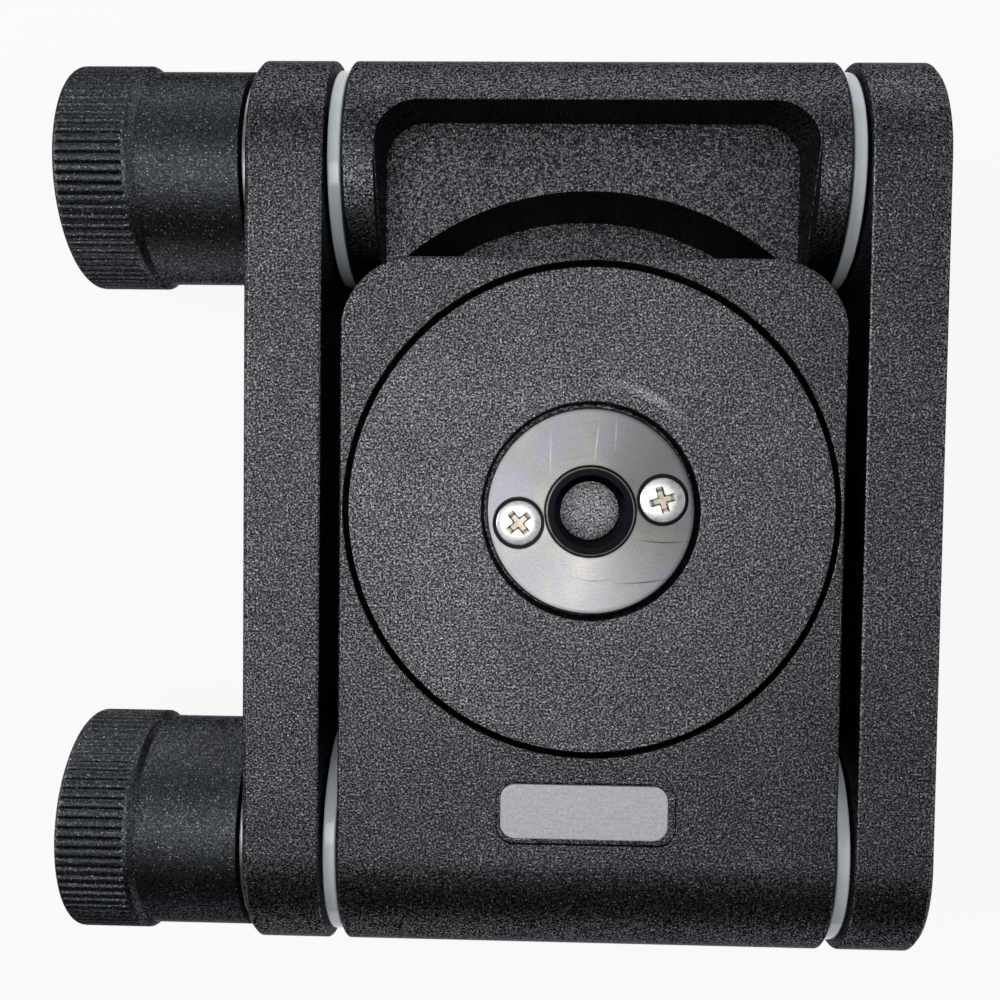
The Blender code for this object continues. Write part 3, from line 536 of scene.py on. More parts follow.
# A material's node tree, with the node's inputs given by name.
class Finish:
    def __init__(self, name, colour, roughness, metallic=0.0):
        self.material = bpy.data.materials.new(name)
        self.material.use_nodes = True
        self.tree = self.material.node_tree
        self.shader = self.tree.nodes["Principled BSDF"]
        self.set(self.shader, {"Base Color": (*colour, 1), "Roughness": roughness, "Metallic": metallic})
        self.place = self.add("ShaderNodeTexCoord").outputs["Object"]

    # Links each value that is another node's output, and sets each plain one
    def feed(self, sockets, values):
        for socket, value in zip(sockets, values):
            if isinstance(value, bpy.types.NodeSocket):
                self.tree.links.new(value, socket)
            else:
                socket.default_value = value

    def set(self, node, inputs):
        self.feed([node.inputs[name] for name in inputs], inputs.values())

    def add(self, kind, inputs=None, **settings):
        node = self.tree.nodes.new(kind)
        for name, value in settings.items():
            setattr(node, name, value)
        self.set(node, inputs or {})
        return node

    def noise(self, scale, detail, roughness, place=None):
        values = {"Vector": place or self.place, "Scale": scale, "Detail": detail, "Roughness": roughness}
        return self.add("ShaderNodeTexNoise", values).outputs["Fac"]

    def spread(self, value, low_in, high_in, low_out, high_out):
        ends = {"From Min": low_in, "From Max": high_in, "To Min": low_out, "To Max": high_out}
        return self.add("ShaderNodeMapRange", {"Value": value, **ends}).outputs["Result"]

    # A noise's usual run of values, spread from one number to another
    def vary(self, noise, low_out, high_out):
        return self.spread(noise, 0.3, 0.7, low_out, high_out)

    def ramp(self, value, stops):
        node = self.add("ShaderNodeValToRGB", {"Fac": value})
        set_stops(node.color_ramp, stops)
        return node.outputs["Color"]

    def maths(self, operation, *values):
        node = self.add("ShaderNodeMath", operation=operation)
        self.feed(node.inputs, values)
        return node.outputs["Value"]

    def product(self, first, *others):
        for value in others:
            first = self.maths("MULTIPLY", first, value)
        return first

    def mix(self, share, first, second, blend="MIX"):
        node = self.add("ShaderNodeMix", data_type="RGBA", blend_type=blend)
        self.feed((node.inputs[0], node.inputs[6], node.inputs[7]), (share, first, second))
        return node.outputs[2]

    # A colour, lighter or darker by a level
    def shaded(self, colour, level):
        grey = self.add("ShaderNodeCombineColor", {"Red": level, "Green": level, "Blue": level})
        return self.mix(1.0, colour, grey.outputs["Color"], "MULTIPLY")

    def axis(self, name):
        return self.add("ShaderNodeSeparateXYZ", {"Vector": self.place}).outputs[name]

    def vector_maths(self, operation, *values, result="Vector"):
        node = self.add("ShaderNodeVectorMath", operation=operation)
        self.feed(node.inputs, values)
        return node.outputs[result]

    def dot(self, first, second):
        return self.vector_maths("DOT_PRODUCT", first, second, result="Value")

    def flat(self, vector):
        return self.vector_maths("MULTIPLY", vector, (1, 1, 0))

    # Distance from the pan axis, or the length of another vector, seen from above
    def radius(self, vector=None):
        return self.vector_maths("LENGTH", self.flat(vector or self.place), result="Value")

    # 1 at a level, falling to 0 at half a band's width from it
    def band(self, value, level, half_width):
        away = self.maths("ABSOLUTE", self.maths("SUBTRACT", value, level))
        return self.spread(away, 0, half_width, 1, 0)

    # 1 along a thin straight or bowed line between two points of a level face
    def line(self, start, end, width, bow):
        start, end = Vector((*start, 0)), Vector((*end, 0))
        run = (end - start).normalized()
        length = (end - start).length
        offset = self.vector_maths("SUBTRACT", self.place, start)
        along = self.dot(offset, run)
        across = self.dot(offset, (-run.y, run.x, 0))
        share = self.maths("DIVIDE", along, length)
        arch = self.product(share, self.maths("SUBTRACT", 1.0, share), 4 * bow)
        near = self.band(self.maths("ADD", across, arch), 0.0, width)
        return self.product(near, self.band(along, length / 2, length / 2))

    def bump(self, height, distance):
        node = self.add("ShaderNodeBump", {"Height": height, "Distance": distance, "Strength": 1.0})
        self.set(self.shader, {"Normal": node.outputs["Normal"]})


# Blasted and dyed metal: worm-like grain with sparse bright points, in copies painted lighter or darker by
# a painted light level; scuffed, it has a worn arc and a hole floor painted lighter.
def black_finish(name, painted_light_level, tones, glint, scuffed_with_lit_hole=False):
    finish = Finish(name, (0.08, 0.08, 0.085), 0.4, 1.0)
    grain = finish.noise(*GRAIN)
    fine = finish.noise(*FINE_GRAIN)
    cloud = finish.noise(*SHADE_CLOUD)
    cells = finish.add("ShaderNodeTexVoronoi", {"Vector": finish.place, "Scale": SPECK_SCALE}).outputs
    chosen = finish.spread(cells["Color"], 0.62, 0.70, 0.0, 1.0)
    speck = finish.product(finish.spread(cells["Distance"], 0.14, 0.32, 1.0, 0.0), chosen)
    colour = finish.mix(speck, finish.ramp(grain, tones), (glint, glint, glint, 1))
    if scuffed_with_lit_hole:
        colour = finish.mix(scuff(finish, grain), colour, RUBBED_METAL)
        # Painted light: the floor of the tripod hole is painted lighter, where little lamp light reaches
        hole_painted_light = finish.spread(finish.radius(), BUSHING_RADIUS, BUSHING_RADIUS + EASE, 0.55, 0.0)
        colour = finish.mix(hole_painted_light, colour, finish.ramp(grain, HOLE_PAINTED_LIGHT_TONES))
    # Painted light and shade: the painted light level makes a whole copy of this coat lighter or darker
    finish.set(finish.shader, {
        "Base Color": finish.shaded(colour, finish.vary(cloud, 0.88 * painted_light_level, 1.12 * painted_light_level)),
        "Roughness": finish.vary(fine, 0.25, 0.35),
        "Specular Tint": finish.ramp(grain, SHEEN_TONES),
    })
    height = finish.maths("MULTIPLY_ADD", fine, 0.35, finish.maths("MULTIPLY_ADD", speck, 0.3, grain))
    finish.bump(height, 0.00006)
    return finish.material


# A speckled arc round the thread plate, where a tripod's plate has rubbed the disc.
def scuff(finish, grain):
    ring = finish.band(finish.radius(), SCUFF_RADIUS, SCUFF_HALF_WIDTH)
    angle = finish.maths("ARCTAN2", finish.axis("Y"), finish.axis("X"))
    reach = finish.band(angle, SCUFF_ANGLE, SCUFF_HALF_SPREAD)
    return finish.product(ring, reach, finish.spread(grain, 0.46, 0.62, 0.20, 0.90))


# Painted shade: the arms', base's and camera section's copy of the coat, painted darker
def grained_black():
    return black_finish("grained_black", 0.92, GRAIN_TONES, 0.60)


# Painted light: the pan disc's copy of the coat, painted lighter, with a worn arc and the tripod hole's
# floor painted lighter
def scuffed_lit_black():
    return black_finish("scuffed_lit_black", 1.15, GRAIN_TONES, 0.60, scuffed_with_lit_hole=True)


def knob_black():
    return black_finish("knob_black", 1.0, KNOB_TONES, 0.40)


# Faced steel: fine rings about the pan axis, a soft anisotropic sheen, faint heat colours and a few
# scratches, with painted reflection: tone in broad sectors round the axis and lighter toward one side; the
# screw pockets are painted shade.
def turned_steel():
    finish = Finish("turned_steel", (0.34, 0.335, 0.325), 0.38, 1.0)
    rings = finish.add("ShaderNodeTexNoise", {"W": finish.radius(), "Scale": RING_SCALE, "Detail": 4.0},
                       noise_dimensions="1D").outputs["Fac"]
    heading = finish.vector_maths("NORMALIZE", finish.flat(finish.place))
    sector = finish.noise(*STEEL_SECTOR, heading)
    mottle = finish.noise(*STEEL_MOTTLE)
    # Rings and mottle are the steel's own; painted reflection: broad sectors round the axis and one side
    # painted lighter
    level = finish.product(
        finish.vary(rings, 0.96, 1.04),
        finish.spread(sector, 0.35, 0.65, 0.92, 1.08),
        finish.vary(mottle, 0.88, 1.12),
        finish.spread(finish.dot(heading, STEEL_PAINTED_LIGHT_SIDE), -1.0, 0.6, 0.50, 1.14),
    )
    colour = finish.shaded(finish.ramp(finish.noise(*STEEL_STAIN), STAIN_TONES), level)
    # Painted shade: the walls and floors of the two screw pockets are painted dark
    wall = PLATE_SCREW_POCKET_RADIUS
    for place in PLATE_SCREW_PLACES:
        away = finish.radius(finish.vector_maths("SUBTRACT", finish.place, place))
        seat = finish.spread(away, wall, wall + EASE / 3, 1.0, 0.0)
        colour = finish.mix(seat, colour, POCKET_PAINTED_SHADE)
    for start, end, width, bow, strength, tone in STEEL_SCRATCHES:
        mark = finish.product(finish.line(start, end, width, bow), strength)
        colour = finish.mix(mark, colour, (tone, tone, tone, 1))
    finish.set(finish.shader, {
        "Base Color": colour,
        "Roughness": finish.vary(sector, 0.34, 0.44),
        "Anisotropic": 0.75,
        "Tangent": finish.add("ShaderNodeTangent", direction_type="RADIAL", axis="Z").outputs["Tangent"],
    })
    finish.bump(finish.maths("MULTIPLY_ADD", mottle, 0.5, rings), 0.000004)
    return finish.material


# A finish whose tones and gloss follow one cloud, with a grain of its own or that cloud as its bump.
def clouded(name, colour, roughness, metallic, cloud, tones, gloss, depth, grain=None):
    finish = Finish(name, colour, roughness, metallic)
    finish.cloud = finish.noise(*cloud)
    finish.tone = finish.ramp(finish.cloud, tones)
    finish.set(finish.shader, {"Base Color": finish.tone, "Roughness": finish.vary(finish.cloud, *gloss)})
    finish.bump(finish.noise(*grain) if grain else finish.cloud, depth)
    return finish


# Dyed steel, almost black, with rub marks.
def black_oxide():
    return clouded("black_oxide", (0.012, 0.013, 0.017), 0.32, 0.5, cloud=(1400, 3.0, 0.6),
                   tones=OXIDE_TONES, gloss=(0.24, 0.42), depth=0.00001).material


# The reducer bushing: dyed steel with its outer edge worn bright.
def worn_oxide():
    finish = clouded("worn_oxide", (0.006, 0.007, 0.009), 0.40, 0.9, cloud=(1400, 3.0, 0.6),
                     tones=((0.40, (0.004, 0.005, 0.008)), (0.66, (0.009, 0.011, 0.016))),
                     gloss=(0.34, 0.50), depth=0.00001)
    rim = finish.band(finish.radius(), BUSHING_RADIUS - BUSHING_CHAMFER / 2, BUSHING_CHAMFER * 0.7)
    worn = finish.product(rim, finish.spread(finish.cloud, 0.30, 0.50, 0.45, 1.0))
    finish.set(finish.shader, {"Base Color": finish.mix(worn, finish.tone, BARE_RIM)})
    return finish.material


def nickel_finish(name):
    return clouded(name, (0.84, 0.83, 0.80), 0.26, 1.0, cloud=(1100, 3.0, 0.6),
                   tones=NICKEL_TONES, gloss=(0.22, 0.36), depth=0.000004, grain=(5200, 2.0, 0.5))


def nickel_screw():
    return nickel_finish("nickel_screw").material


# A screw whose cross recess and side are coloured a darker brown, below the level of its head's face.
def seated_screw():
    finish = nickel_finish("seated_screw")
    face = high("thread_plate_screw_left").z - HEAD_CROWN
    sunk = finish.spread(finish.axis("Z"), face - 2 * EASE, face - EASE / 2, 1.0, 0.0)
    finish.set(finish.shader, {"Base Color": finish.mix(sunk, finish.tone, SUNK_SCREW_BROWN)})
    return finish.material


def pale_acetal():
    finish = clouded("pale_acetal", (0.84, 0.90, 0.96), 0.30, 0.0, cloud=(420, 2.0, 0.5),
                     tones=((0.35, (0.86, 0.93, 0.98)), (0.65, (0.93, 0.97, 1.0))),
                     gloss=(0.09, 0.15), depth=0.000006, grain=(6200, 2.0, 0.5))
    finish.set(finish.shader, {"IOR": 1.75})
    return finish.material


def silver_label():
    finish = Finish("silver_label", (0.66, 0.66, 0.67), 0.5)
    drawn = finish.vector_maths("MULTIPLY", finish.place, (0.12, 1.0, 1.0))
    fibres = finish.noise(*LABEL_FIBRES, drawn)
    mottle = finish.noise(*LABEL_MOTTLE)
    both = finish.maths("MULTIPLY_ADD", mottle, 0.6, finish.product(fibres, 0.4))
    finish.set(finish.shader, {
        "Base Color": finish.ramp(both, ((0.38, (0.57, 0.57, 0.58)), (0.62, (0.76, 0.76, 0.765)))),
        "Roughness": finish.vary(fibres, 0.40, 0.52),
        "Metallic": 0.25,
    })
    finish.bump(both, 0.000008)
    return finish.material


def zinc_steel():
    return clouded("zinc_steel", (0.55, 0.55, 0.54), 0.35, 1.0, cloud=(900, 3.0, 0.6),
                   tones=((0.34, (0.42, 0.42, 0.43)), (0.66, (0.62, 0.615, 0.60))),
                   gloss=(0.28, 0.44), depth=0.000008, grain=(3600, 3.0, 0.6)).material


def pad_rubber():
    return clouded("pad_rubber", (0.020, 0.020, 0.020), 0.8, 0.0, cloud=(700, 3.0, 0.6),
                   tones=((0.35, (0.016, 0.016, 0.017)), (0.68, (0.034, 0.034, 0.034))),
                   gloss=(0.68, 0.86), depth=0.00003, grain=(4200, 2.0, 0.5)).material


def knob_cap_black():
    return clouded("knob_cap_black", (0.018, 0.018, 0.019), 0.42, 0.0, cloud=(500, 3.0, 0.6),
                   tones=((0.35, (0.014, 0.014, 0.015)), (0.68, (0.026, 0.026, 0.027))),
                   gloss=(0.36, 0.52), depth=0.00002, grain=(5200, 2.0, 0.5)).material


# Side outline of an arm: a bar with a round end on each hinge axis.
def arm_outline(inset):
    radius = END_RADIUS - inset
    return [
        *arc(UPPER_Y, HINGE_Z, radius, pi / 2, -pi, BARREL_STEPS),
        *arc(LOWER_Y, HINGE_Z, radius, -pi / 2, -pi, BARREL_STEPS),
    ]


def build_arm(node, side):
    levels = edge_levels(side * ARM_INNER, side * ARM_OUTER, ARM_INNER_CHAMFER, ARM_OUTER_CHAMFER)
    start, end = side * (ARM_INNER - OVERRUN), side * (ARM_OUTER + OVERRUN)
    seat = x_ends("lower_pivot_bolt")[1] - BOLT_HEAD_HEIGHT - FIT_GAP
    tools = []
    for y in (LOWER_Y, UPPER_Y):
        centre = (0, y, HINGE_Z)
        tools.append(rod(start, end, STUD_HOLE_RADIUS, centre, "X"))
        if side > 0:
            tools.append(flared_rod(seat, ARM_OUTER, BOLT_HEAD_RADIUS + FIT_GAP, centre, "X"))
    add_piece(node, side_skin(levels, arm_outline), "grained_black", cuts(*tools))


# Side outline of the base section: the plate runs into the top of its barrel without a step.
def base_outline(inset):
    radius = END_RADIUS - inset
    under = BASE_UNDER + inset
    end = BASE_END_Y - inset
    sweep = 3 * pi / 2 + asin((under - HINGE_Z) / radius)
    return [
        *arc(end - EDGE, FACE_Z - inset - EDGE, EDGE, 0, pi / 2, CORNER_STEPS),
        *arc(LOWER_Y, HINGE_Z, radius, pi / 2, sweep, 2 * BARREL_STEPS),
        (end, under),
    ]


# Cuts a plan corner of the base plate; near the top face the cut widens into a rounded edge.
def corner_cutter(side):
    inner_x, inner_y = HALF_BARREL - BASE_CORNER_RADIUS, BASE_END_Y - BASE_CORNER_RADIUS
    outer_x, outer_y = HALF_BARREL + OVERRUN, BASE_END_Y + OVERRUN
    edge = arc(0, FACE_Z - EDGE, EDGE, 0, pi / 2, CORNER_STEPS)
    levels = [(BASE_UNDER - OVERRUN, 0.0), *[(level, EDGE - reach) for reach, level in edge]]
    levels.append((FACE_Z + OVERRUN, EDGE))
    rings = []
    for level, inset in levels:
        corner = arc(inner_x, inner_y, BASE_CORNER_RADIUS - inset, pi / 2, -pi / 2, 2 * CORNER_STEPS)
        outline = [(outer_x, outer_y), (inner_x, outer_y), *corner, (outer_x, inner_y)]
        rings.append([(side * x, y, level) for x, y in outline])
    return skin(rings)


def stud_holes(y):
    start, end = x_ends("lower_pivot_bolt")[0] - FIT_GAP, HALF_BARREL + OVERRUN
    return [rod(side * start, side * end, STUD_HOLE_RADIUS, (0, y, HINGE_Z), "X") for side in (-1, 1)]


def build_base():
    levels = edge_levels(-HALF_BARREL, HALF_BARREL, EDGE, EDGE)
    reach = HALF_BARREL + OVERRUN
    relief = rod(-reach, reach, END_RADIUS + SWING_CLEARANCE, (0, UPPER_Y, HINGE_Z), "X", ROUND_STEPS)
    seat = flared_rod(FACE_Z - PAN_SEAT_DEPTH, FACE_Z, PAN_SEAT_RADIUS, PAN_AXIS, "Z", DISC_STEPS)
    bore = rod(BASE_UNDER - OVERRUN, FACE_Z + OVERRUN, PAN_BORE_RADIUS, PAN_AXIS, "Z", ROUND_STEPS)
    recess = flared_slab(0, LABEL_RECESS_Y, LABEL_RECESS_LENGTH / 2, LABEL_RECESS_BREADTH / 2,
                         LABEL_RECESS_CORNER, FACE_Z - LABEL_RECESS_DEPTH, FACE_Z)
    steps = cuts(relief, seat, bore, corner_cutter(-1), corner_cutter(1), recess, *stud_holes(LOWER_Y))
    add_piece("base_plate", side_skin(levels, base_outline), "grained_black", steps)


def build_label():
    bottom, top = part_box("label_plate")
    middle = (bottom + top) / 2
    half_x, half_y = (top.x - bottom.x) / 2, (top.y - bottom.y) / 2
    levels = edge_levels(bottom.z, top.z, 0.0, LABEL_EASE, LABEL_EASE / 2)
    plate = slab(middle.x - MID_X, middle.y, half_x, half_y, LABEL_CORNER, levels)
    add_piece("label_plate", plate, "silver_label")


def build_pan_disc():
    recess_floor = THREAD_PLATE_UNDER - FIT_GAP
    flange_under = FACE_Z - PAN_FLANGE_THICKNESS
    hole_floor = FACE_Z - TRIPOD_HOLE_DEPTH
    hole_radius = BUSHING_RADIUS + FIT_GAP
    corners = [
        (HUB_UNDER, HUB_RADIUS - SUPPORT),
        (HUB_UNDER, HUB_RADIUS),
        (flange_under, HUB_RADIUS),
        (flange_under, PAN_DISC_RADIUS),
        (FACE_Z, PAN_DISC_RADIUS),
        (FACE_Z, THREAD_RECESS_RADIUS),
        (recess_floor, THREAD_RECESS_RADIUS),
        (recess_floor, hole_radius),
        (hole_floor, hole_radius),
        (hole_floor, hole_radius - SUPPORT),
    ]
    start, end = low("thread_plate_screw_left").z - FIT_GAP, recess_floor + OVERRUN
    tools = [rod(start, end, SMALL_SCREW_HOLE_RADIUS, place, "Z") for place in PLATE_SCREW_PLACES]
    start, end = HUB_UNDER - OVERRUN, high("retainer_screw_1").z + FIT_GAP
    tools += [rod(start, end, SMALL_SCREW_HOLE_RADIUS, place, "Z") for place in RETAINER_SCREW_PLACES]
    disc = turned(eased(corners), PAN_AXIS, "Z", DISC_STEPS)
    add_piece("pan_disc", disc, "scuffed_lit_black", cuts(*tools))


def build_thread_plate():
    bottom, top = THREAD_PLATE_UNDER, THREAD_PLATE_TOP
    side = high("thread_plate").y
    corners = [
        (bottom, side - SUPPORT),
        (bottom, side),
        (top - THREAD_PLATE_CHAMFER, side),
        (top, side - THREAD_PLATE_CHAMFER),
        (top, side - THREAD_PLATE_CHAMFER - SUPPORT),
    ]
    seat = top - PLATE_SCREW_HEAD_HEIGHT - FIT_GAP
    tools = [flared_rod(bottom - OVERRUN, top, BUSHING_RADIUS + FIT_GAP / 3, PAN_AXIS, "Z")]
    for place in PLATE_SCREW_PLACES:
        tools.append(flared_rod(seat, top, PLATE_SCREW_POCKET_RADIUS, place, "Z"))
        tools.append(rod(bottom - OVERRUN, top + OVERRUN, SMALL_SCREW_HOLE_RADIUS, place, "Z"))
    plate = turned(eased(corners, EASE / 2), PAN_AXIS, "Z", DISC_STEPS)
    add_piece("thread_plate", plate, "turned_steel", cuts(*tools))


# A screw whose head faces up (1) or down (-1), with a crowned head and a tapered cross recess.
def build_small_screw(node, place, up, head_radius, head_height, turn, finish):
    bottom, top = low(node).z, high(node).z
    face, end = (top, bottom) if up > 0 else (bottom, top)
    neck = face - up * head_height
    corners = [
        (face, SUPPORT),
        (face - up * HEAD_CROWN / 4, head_radius * HEAD_CROWN_SHARE),
        (face - up * HEAD_CROWN, head_radius),
        (neck, head_radius),
        (neck, SMALL_SCREW_SHANK_RADIUS),
        (end, SMALL_SCREW_SHANK_RADIUS),
        (end, SMALL_SCREW_SHANK_RADIUS - SUPPORT),
    ]
    half_long, half_wide = CROSS_LENGTH / 2, CROSS_WIDTH / 2
    quarter = [(half_long, -half_wide), (half_long, half_wide), (half_wide, half_wide)]
    outline = []
    for number in range(4):
        turned_by = Matrix.Rotation(turn + number * pi / 2, 2)
        outline += [turned_by @ Vector(point) for point in quarter]
    outline = eased(outline, CROSS_WIDTH / 5, closed=True)
    floor, above = face - up * CROSS_DEPTH, face + up * CROSS_DEPTH
    rings = []
    for level, share in ((floor, CROSS_TAPER_SHARE), (face, 1.0), (above, 1.0)):
        rings.append([(place[0] + p.x * share, place[1] + p.y * share, level) for p in outline])
    screw = turned(eased(corners), place, "Z", SMALL_STEPS)
    add_piece(node, screw, finish, cuts(skin(rings)))


def build_bushing():
    top, bottom = THREAD_PLATE_TOP, THREAD_PLATE_UNDER
    mouth = top - BUSHING_COUNTERSINK
    root = BUSHING_BORE_RADIUS
    bore = thread_levels(bottom + SUPPORT, mouth, root, CAMERA_THREAD_PITCH)
    outside = [
        (bottom, root),
        (bottom, BUSHING_RADIUS),
        (top - BUSHING_CHAMFER, BUSHING_RADIUS),
        (top, BUSHING_RADIUS - BUSHING_CHAMFER),
        (top, root + BUSHING_COUNTERSINK),
    ]
    profile = eased(outside, EASE / 2) + bore[::-1]
    shape = thread(root, CAMERA_THREAD_DEPTH, CAMERA_THREAD_PITCH, bottom + SUPPORT, mouth)
    ring = turned(profile, PAN_AXIS, "Z", ROUND_STEPS, closed=True, shape=shape)
    add_piece("reducer_bushing", ring, "worn_oxide")


def build_retainer():
    bottom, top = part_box("pan_retainer")
    profile = [(level, top.y - inset) for level, inset in edge_levels(bottom.z, top.z, EDGE, EDGE)]
    seat = bottom.z + RETAINER_SCREW_HEAD_HEIGHT + FIT_GAP
    head = RETAINER_SCREW_HEAD_RADIUS + FIT_GAP
    tools = []
    for place in RETAINER_SCREW_PLACES:
        tools.append(flared_rod(seat, bottom.z, head, place, "Z", SMALL_STEPS))
        tools.append(rod(bottom.z - OVERRUN, top.z + OVERRUN, SMALL_SCREW_HOLE_RADIUS, place, "Z"))
    add_piece("pan_retainer", turned(profile, PAN_AXIS, "Z", DISC_STEPS), "zinc_steel", cuts(*tools))


# A flat ring that fills its node's box, about an upright axis.
def build_flat_ring(node, bore, y, finish):
    bottom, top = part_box(node)
    add_piece(node, washer(bottom.z, top.z, top.y - y, bore, (0, y, 0), "Z"), finish)


# Side outline of the camera section's barrel and the web that joins it to its plate.
def camera_outline(inset):
    radius = END_RADIUS - inset
    web = WEB_REACH - inset
    foot = PLATE_TOP - WEB_SINK
    return [
        *arc(UPPER_Y, HINGE_Z, radius, pi, -pi - acos(web / radius), 2 * BARREL_STEPS),
        (UPPER_Y + web, foot),
        (UPPER_Y - radius, foot),
    ]


# The barrel's surface over a line y, which stays real where the line passes beside it.
def barrel_height(y):
    offset = min(abs(y - UPPER_Y), END_RADIUS * 0.98)
    return HINGE_Z + sqrt(END_RADIUS ** 2 - offset ** 2)


# An upright cutter whose mouth opens out where it leaves the barrel's surface.
def barrel_cutter(outline, floor):
    rings = [[(x, y, floor) for x, y in outline(0.0)]]
    for drop, spread in POCKET_RIM:
        rings.append([(x, y, max(barrel_height(y), floor + SUPPORT) + drop * EASE)
                      for x, y in outline(-spread * EASE)])
    rings.append([(x, y, FACE_Z + OVERRUN) for x, y in outline(-EASE)])
    return skin(rings)


def build_camera_section():
    pocket_floor = FACE_Z - POCKET_DEPTH
    pocket_top = UPPER_Y + POCKET_REACH
    pocket_bottom = UPPER_Y - END_RADIUS - POCKET_CORNER - OVERRUN
    half_x, half_y = POCKET_WIDTH / 2, (pocket_top - pocket_bottom) / 2

    def pocket_outline(inset):
        return rounded_outline(0, pocket_bottom + half_y, half_x, half_y, POCKET_CORNER, inset)

    front, rear = low("camera_section").y, high("camera_section").y
    levels = edge_levels(PLATE_UNDER, PLATE_TOP, CAMERA_PLATE_CHAMFER, CAMERA_PLATE_CHAMFER)
    plate = slab(0, (front + rear) / 2, ARM_OUTER, (rear - front) / 2, CAMERA_PLATE_CORNER, levels)
    well = [
        (PLATE_UNDER, WELL_RADIUS),
        (pocket_floor - EASE, WELL_RADIUS),
        (pocket_floor, WELL_RADIUS + EASE),
        (FACE_Z + OVERRUN, WELL_RADIUS + EASE),
    ]
    hole = rod(PLATE_UNDER - OVERRUN, PLATE_TOP + OVERRUN, SCREW_HOLE_RADIUS, SCREW_AXIS, "Z")
    ring_low, ring_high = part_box("camera_screw_o_ring")
    reach = ring_high.y - SCREW_Y + FIT_GAP
    groove = rod(ring_low.z - FIT_GAP, ring_high.z + FIT_GAP, reach, SCREW_AXIS, "Z")
    recesses = []
    for node in ("rear_pad", "front_pad"):
        bottom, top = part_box(node)
        recesses.append(flared_slab(0, (bottom.y + top.y) / 2, PAD_LENGTH / 2 + FIT_GAP,
                                    PAD_BREADTH / 2 + FIT_GAP, PAD_CORNER + FIT_GAP,
                                    top.z + FIT_GAP, PLATE_UNDER))
    barrel = side_skin(edge_levels(-HALF_BARREL, HALF_BARREL, EDGE, EDGE), camera_outline)
    pocket = barrel_cutter(pocket_outline, pocket_floor)
    steps = cuts(pocket, turned(well, SCREW_AXIS, "Z", DISC_STEPS), *stud_holes(UPPER_Y))
    steps += [("UNION", plate), *cuts(hole, groove, *recesses)]
    add_piece("camera_section", barrel, "grained_black", steps)


# A rubber pad with narrow grooves along its lower face.
def build_pad(node):
    bottom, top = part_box(node)
    y = (bottom.y + top.y) / 2
    pad = slab(0, y, PAD_LENGTH / 2, PAD_BREADTH / 2, PAD_CORNER, edge_levels(bottom.z, top.z, EDGE, EDGE))
    levels = [(bottom.z - OVERRUN, 0.0), (bottom.z + PAD_RIB_DEPTH, 0.0)]
    grooves = []
    for k in range(PAD_RIBS):
        groove_y = y + PAD_BREADTH * ((k + 1) / (PAD_RIBS + 1) - 0.5)
        grooves.append(slab(0, groove_y, PAD_LENGTH / 2 - PAD_CORNER, PAD_RIB_WIDTH / 2,
                            PAD_RIB_WIDTH / 2.1, levels))
    add_piece(node, pad, "pad_rubber", cuts(*grooves))


def build_o_ring():
    bottom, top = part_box("camera_screw_o_ring")
    middle, half = (bottom.z + top.z) / 2, (top.z - bottom.z) / 2
    outer, bore = top.y - SCREW_Y, SCREW_THREAD_RADIUS + FIT_GAP
    profile = []
    for k in range(SMALL_STEPS // 2):
        angle = 4 * pi * k / SMALL_STEPS
        profile.append((middle + half * sin(angle), (outer + bore) / 2 + (outer - bore) / 2 * cos(angle)))
    ring = turned(profile, SCREW_AXIS, "Z", SMALL_STEPS, closed=True)
    add_piece("camera_screw_o_ring", ring, "pad_rubber")


def build_camera_screw():
    bottom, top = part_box("camera_screw")
    tip, head_top = bottom.z, top.z
    head_bottom = head_top - SCREW_HEAD_HEIGHT
    head_radius = top.y - SCREW_Y
    levels = edge_levels(head_bottom, head_top, 2 * EDGE, 2 * EDGE)
    profile = [(level, head_radius - inset) for level, inset in levels]
    shape = ridged(head_radius, SCREW_RIDGE_DEPTH, SCREW_RIDGES)
    head = turned(profile, SCREW_AXIS, "Z", SCREW_RIDGES * RIDGE_STEPS, shape=shape)
    root = SCREW_THREAD_RADIUS - CAMERA_THREAD_DEPTH
    stem = [(tip, root - SUPPORT), (tip, root)]
    stem += thread_levels(tip + SUPPORT / 2, head_bottom - SUPPORT, root, CAMERA_THREAD_PITCH)
    stem.append((head_bottom + EDGE, root))
    shape = thread(root, CAMERA_THREAD_DEPTH, CAMERA_THREAD_PITCH, tip + SUPPORT, head_bottom - 2 * SUPPORT)
    shank = turned(stem, SCREW_AXIS, "Z", SMALL_STEPS, shape=shape)
    half_x, half_y = head_radius + OVERRUN, SCREW_SLOT_WIDTH / 2
    flares = ((head_top - SCREW_SLOT_DEPTH, 0.0), (head_top - EASE, 0.0), (head_top + OVERRUN, OVERRUN))
    slot = skin([[(half_x * x, SCREW_Y + (half_y + flare) * y, level) for x, y in QUARTERS]
                 for level, flare in flares])
    add_piece("camera_screw", head, "nickel_screw", [("UNION", shank), *cuts(slot)])


# A washer on a hinge axis that fills its node's box.
def build_hinge_washer(node, bore, reach, finish):
    bottom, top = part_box(node)
    centre = (0, (bottom.y + top.y) / 2, (bottom.z + top.z) / 2)
    ring = washer(*x_ends(node), (top.z - bottom.z) / 2, bore, centre, "X", reach)
    add_piece(node, ring, finish)


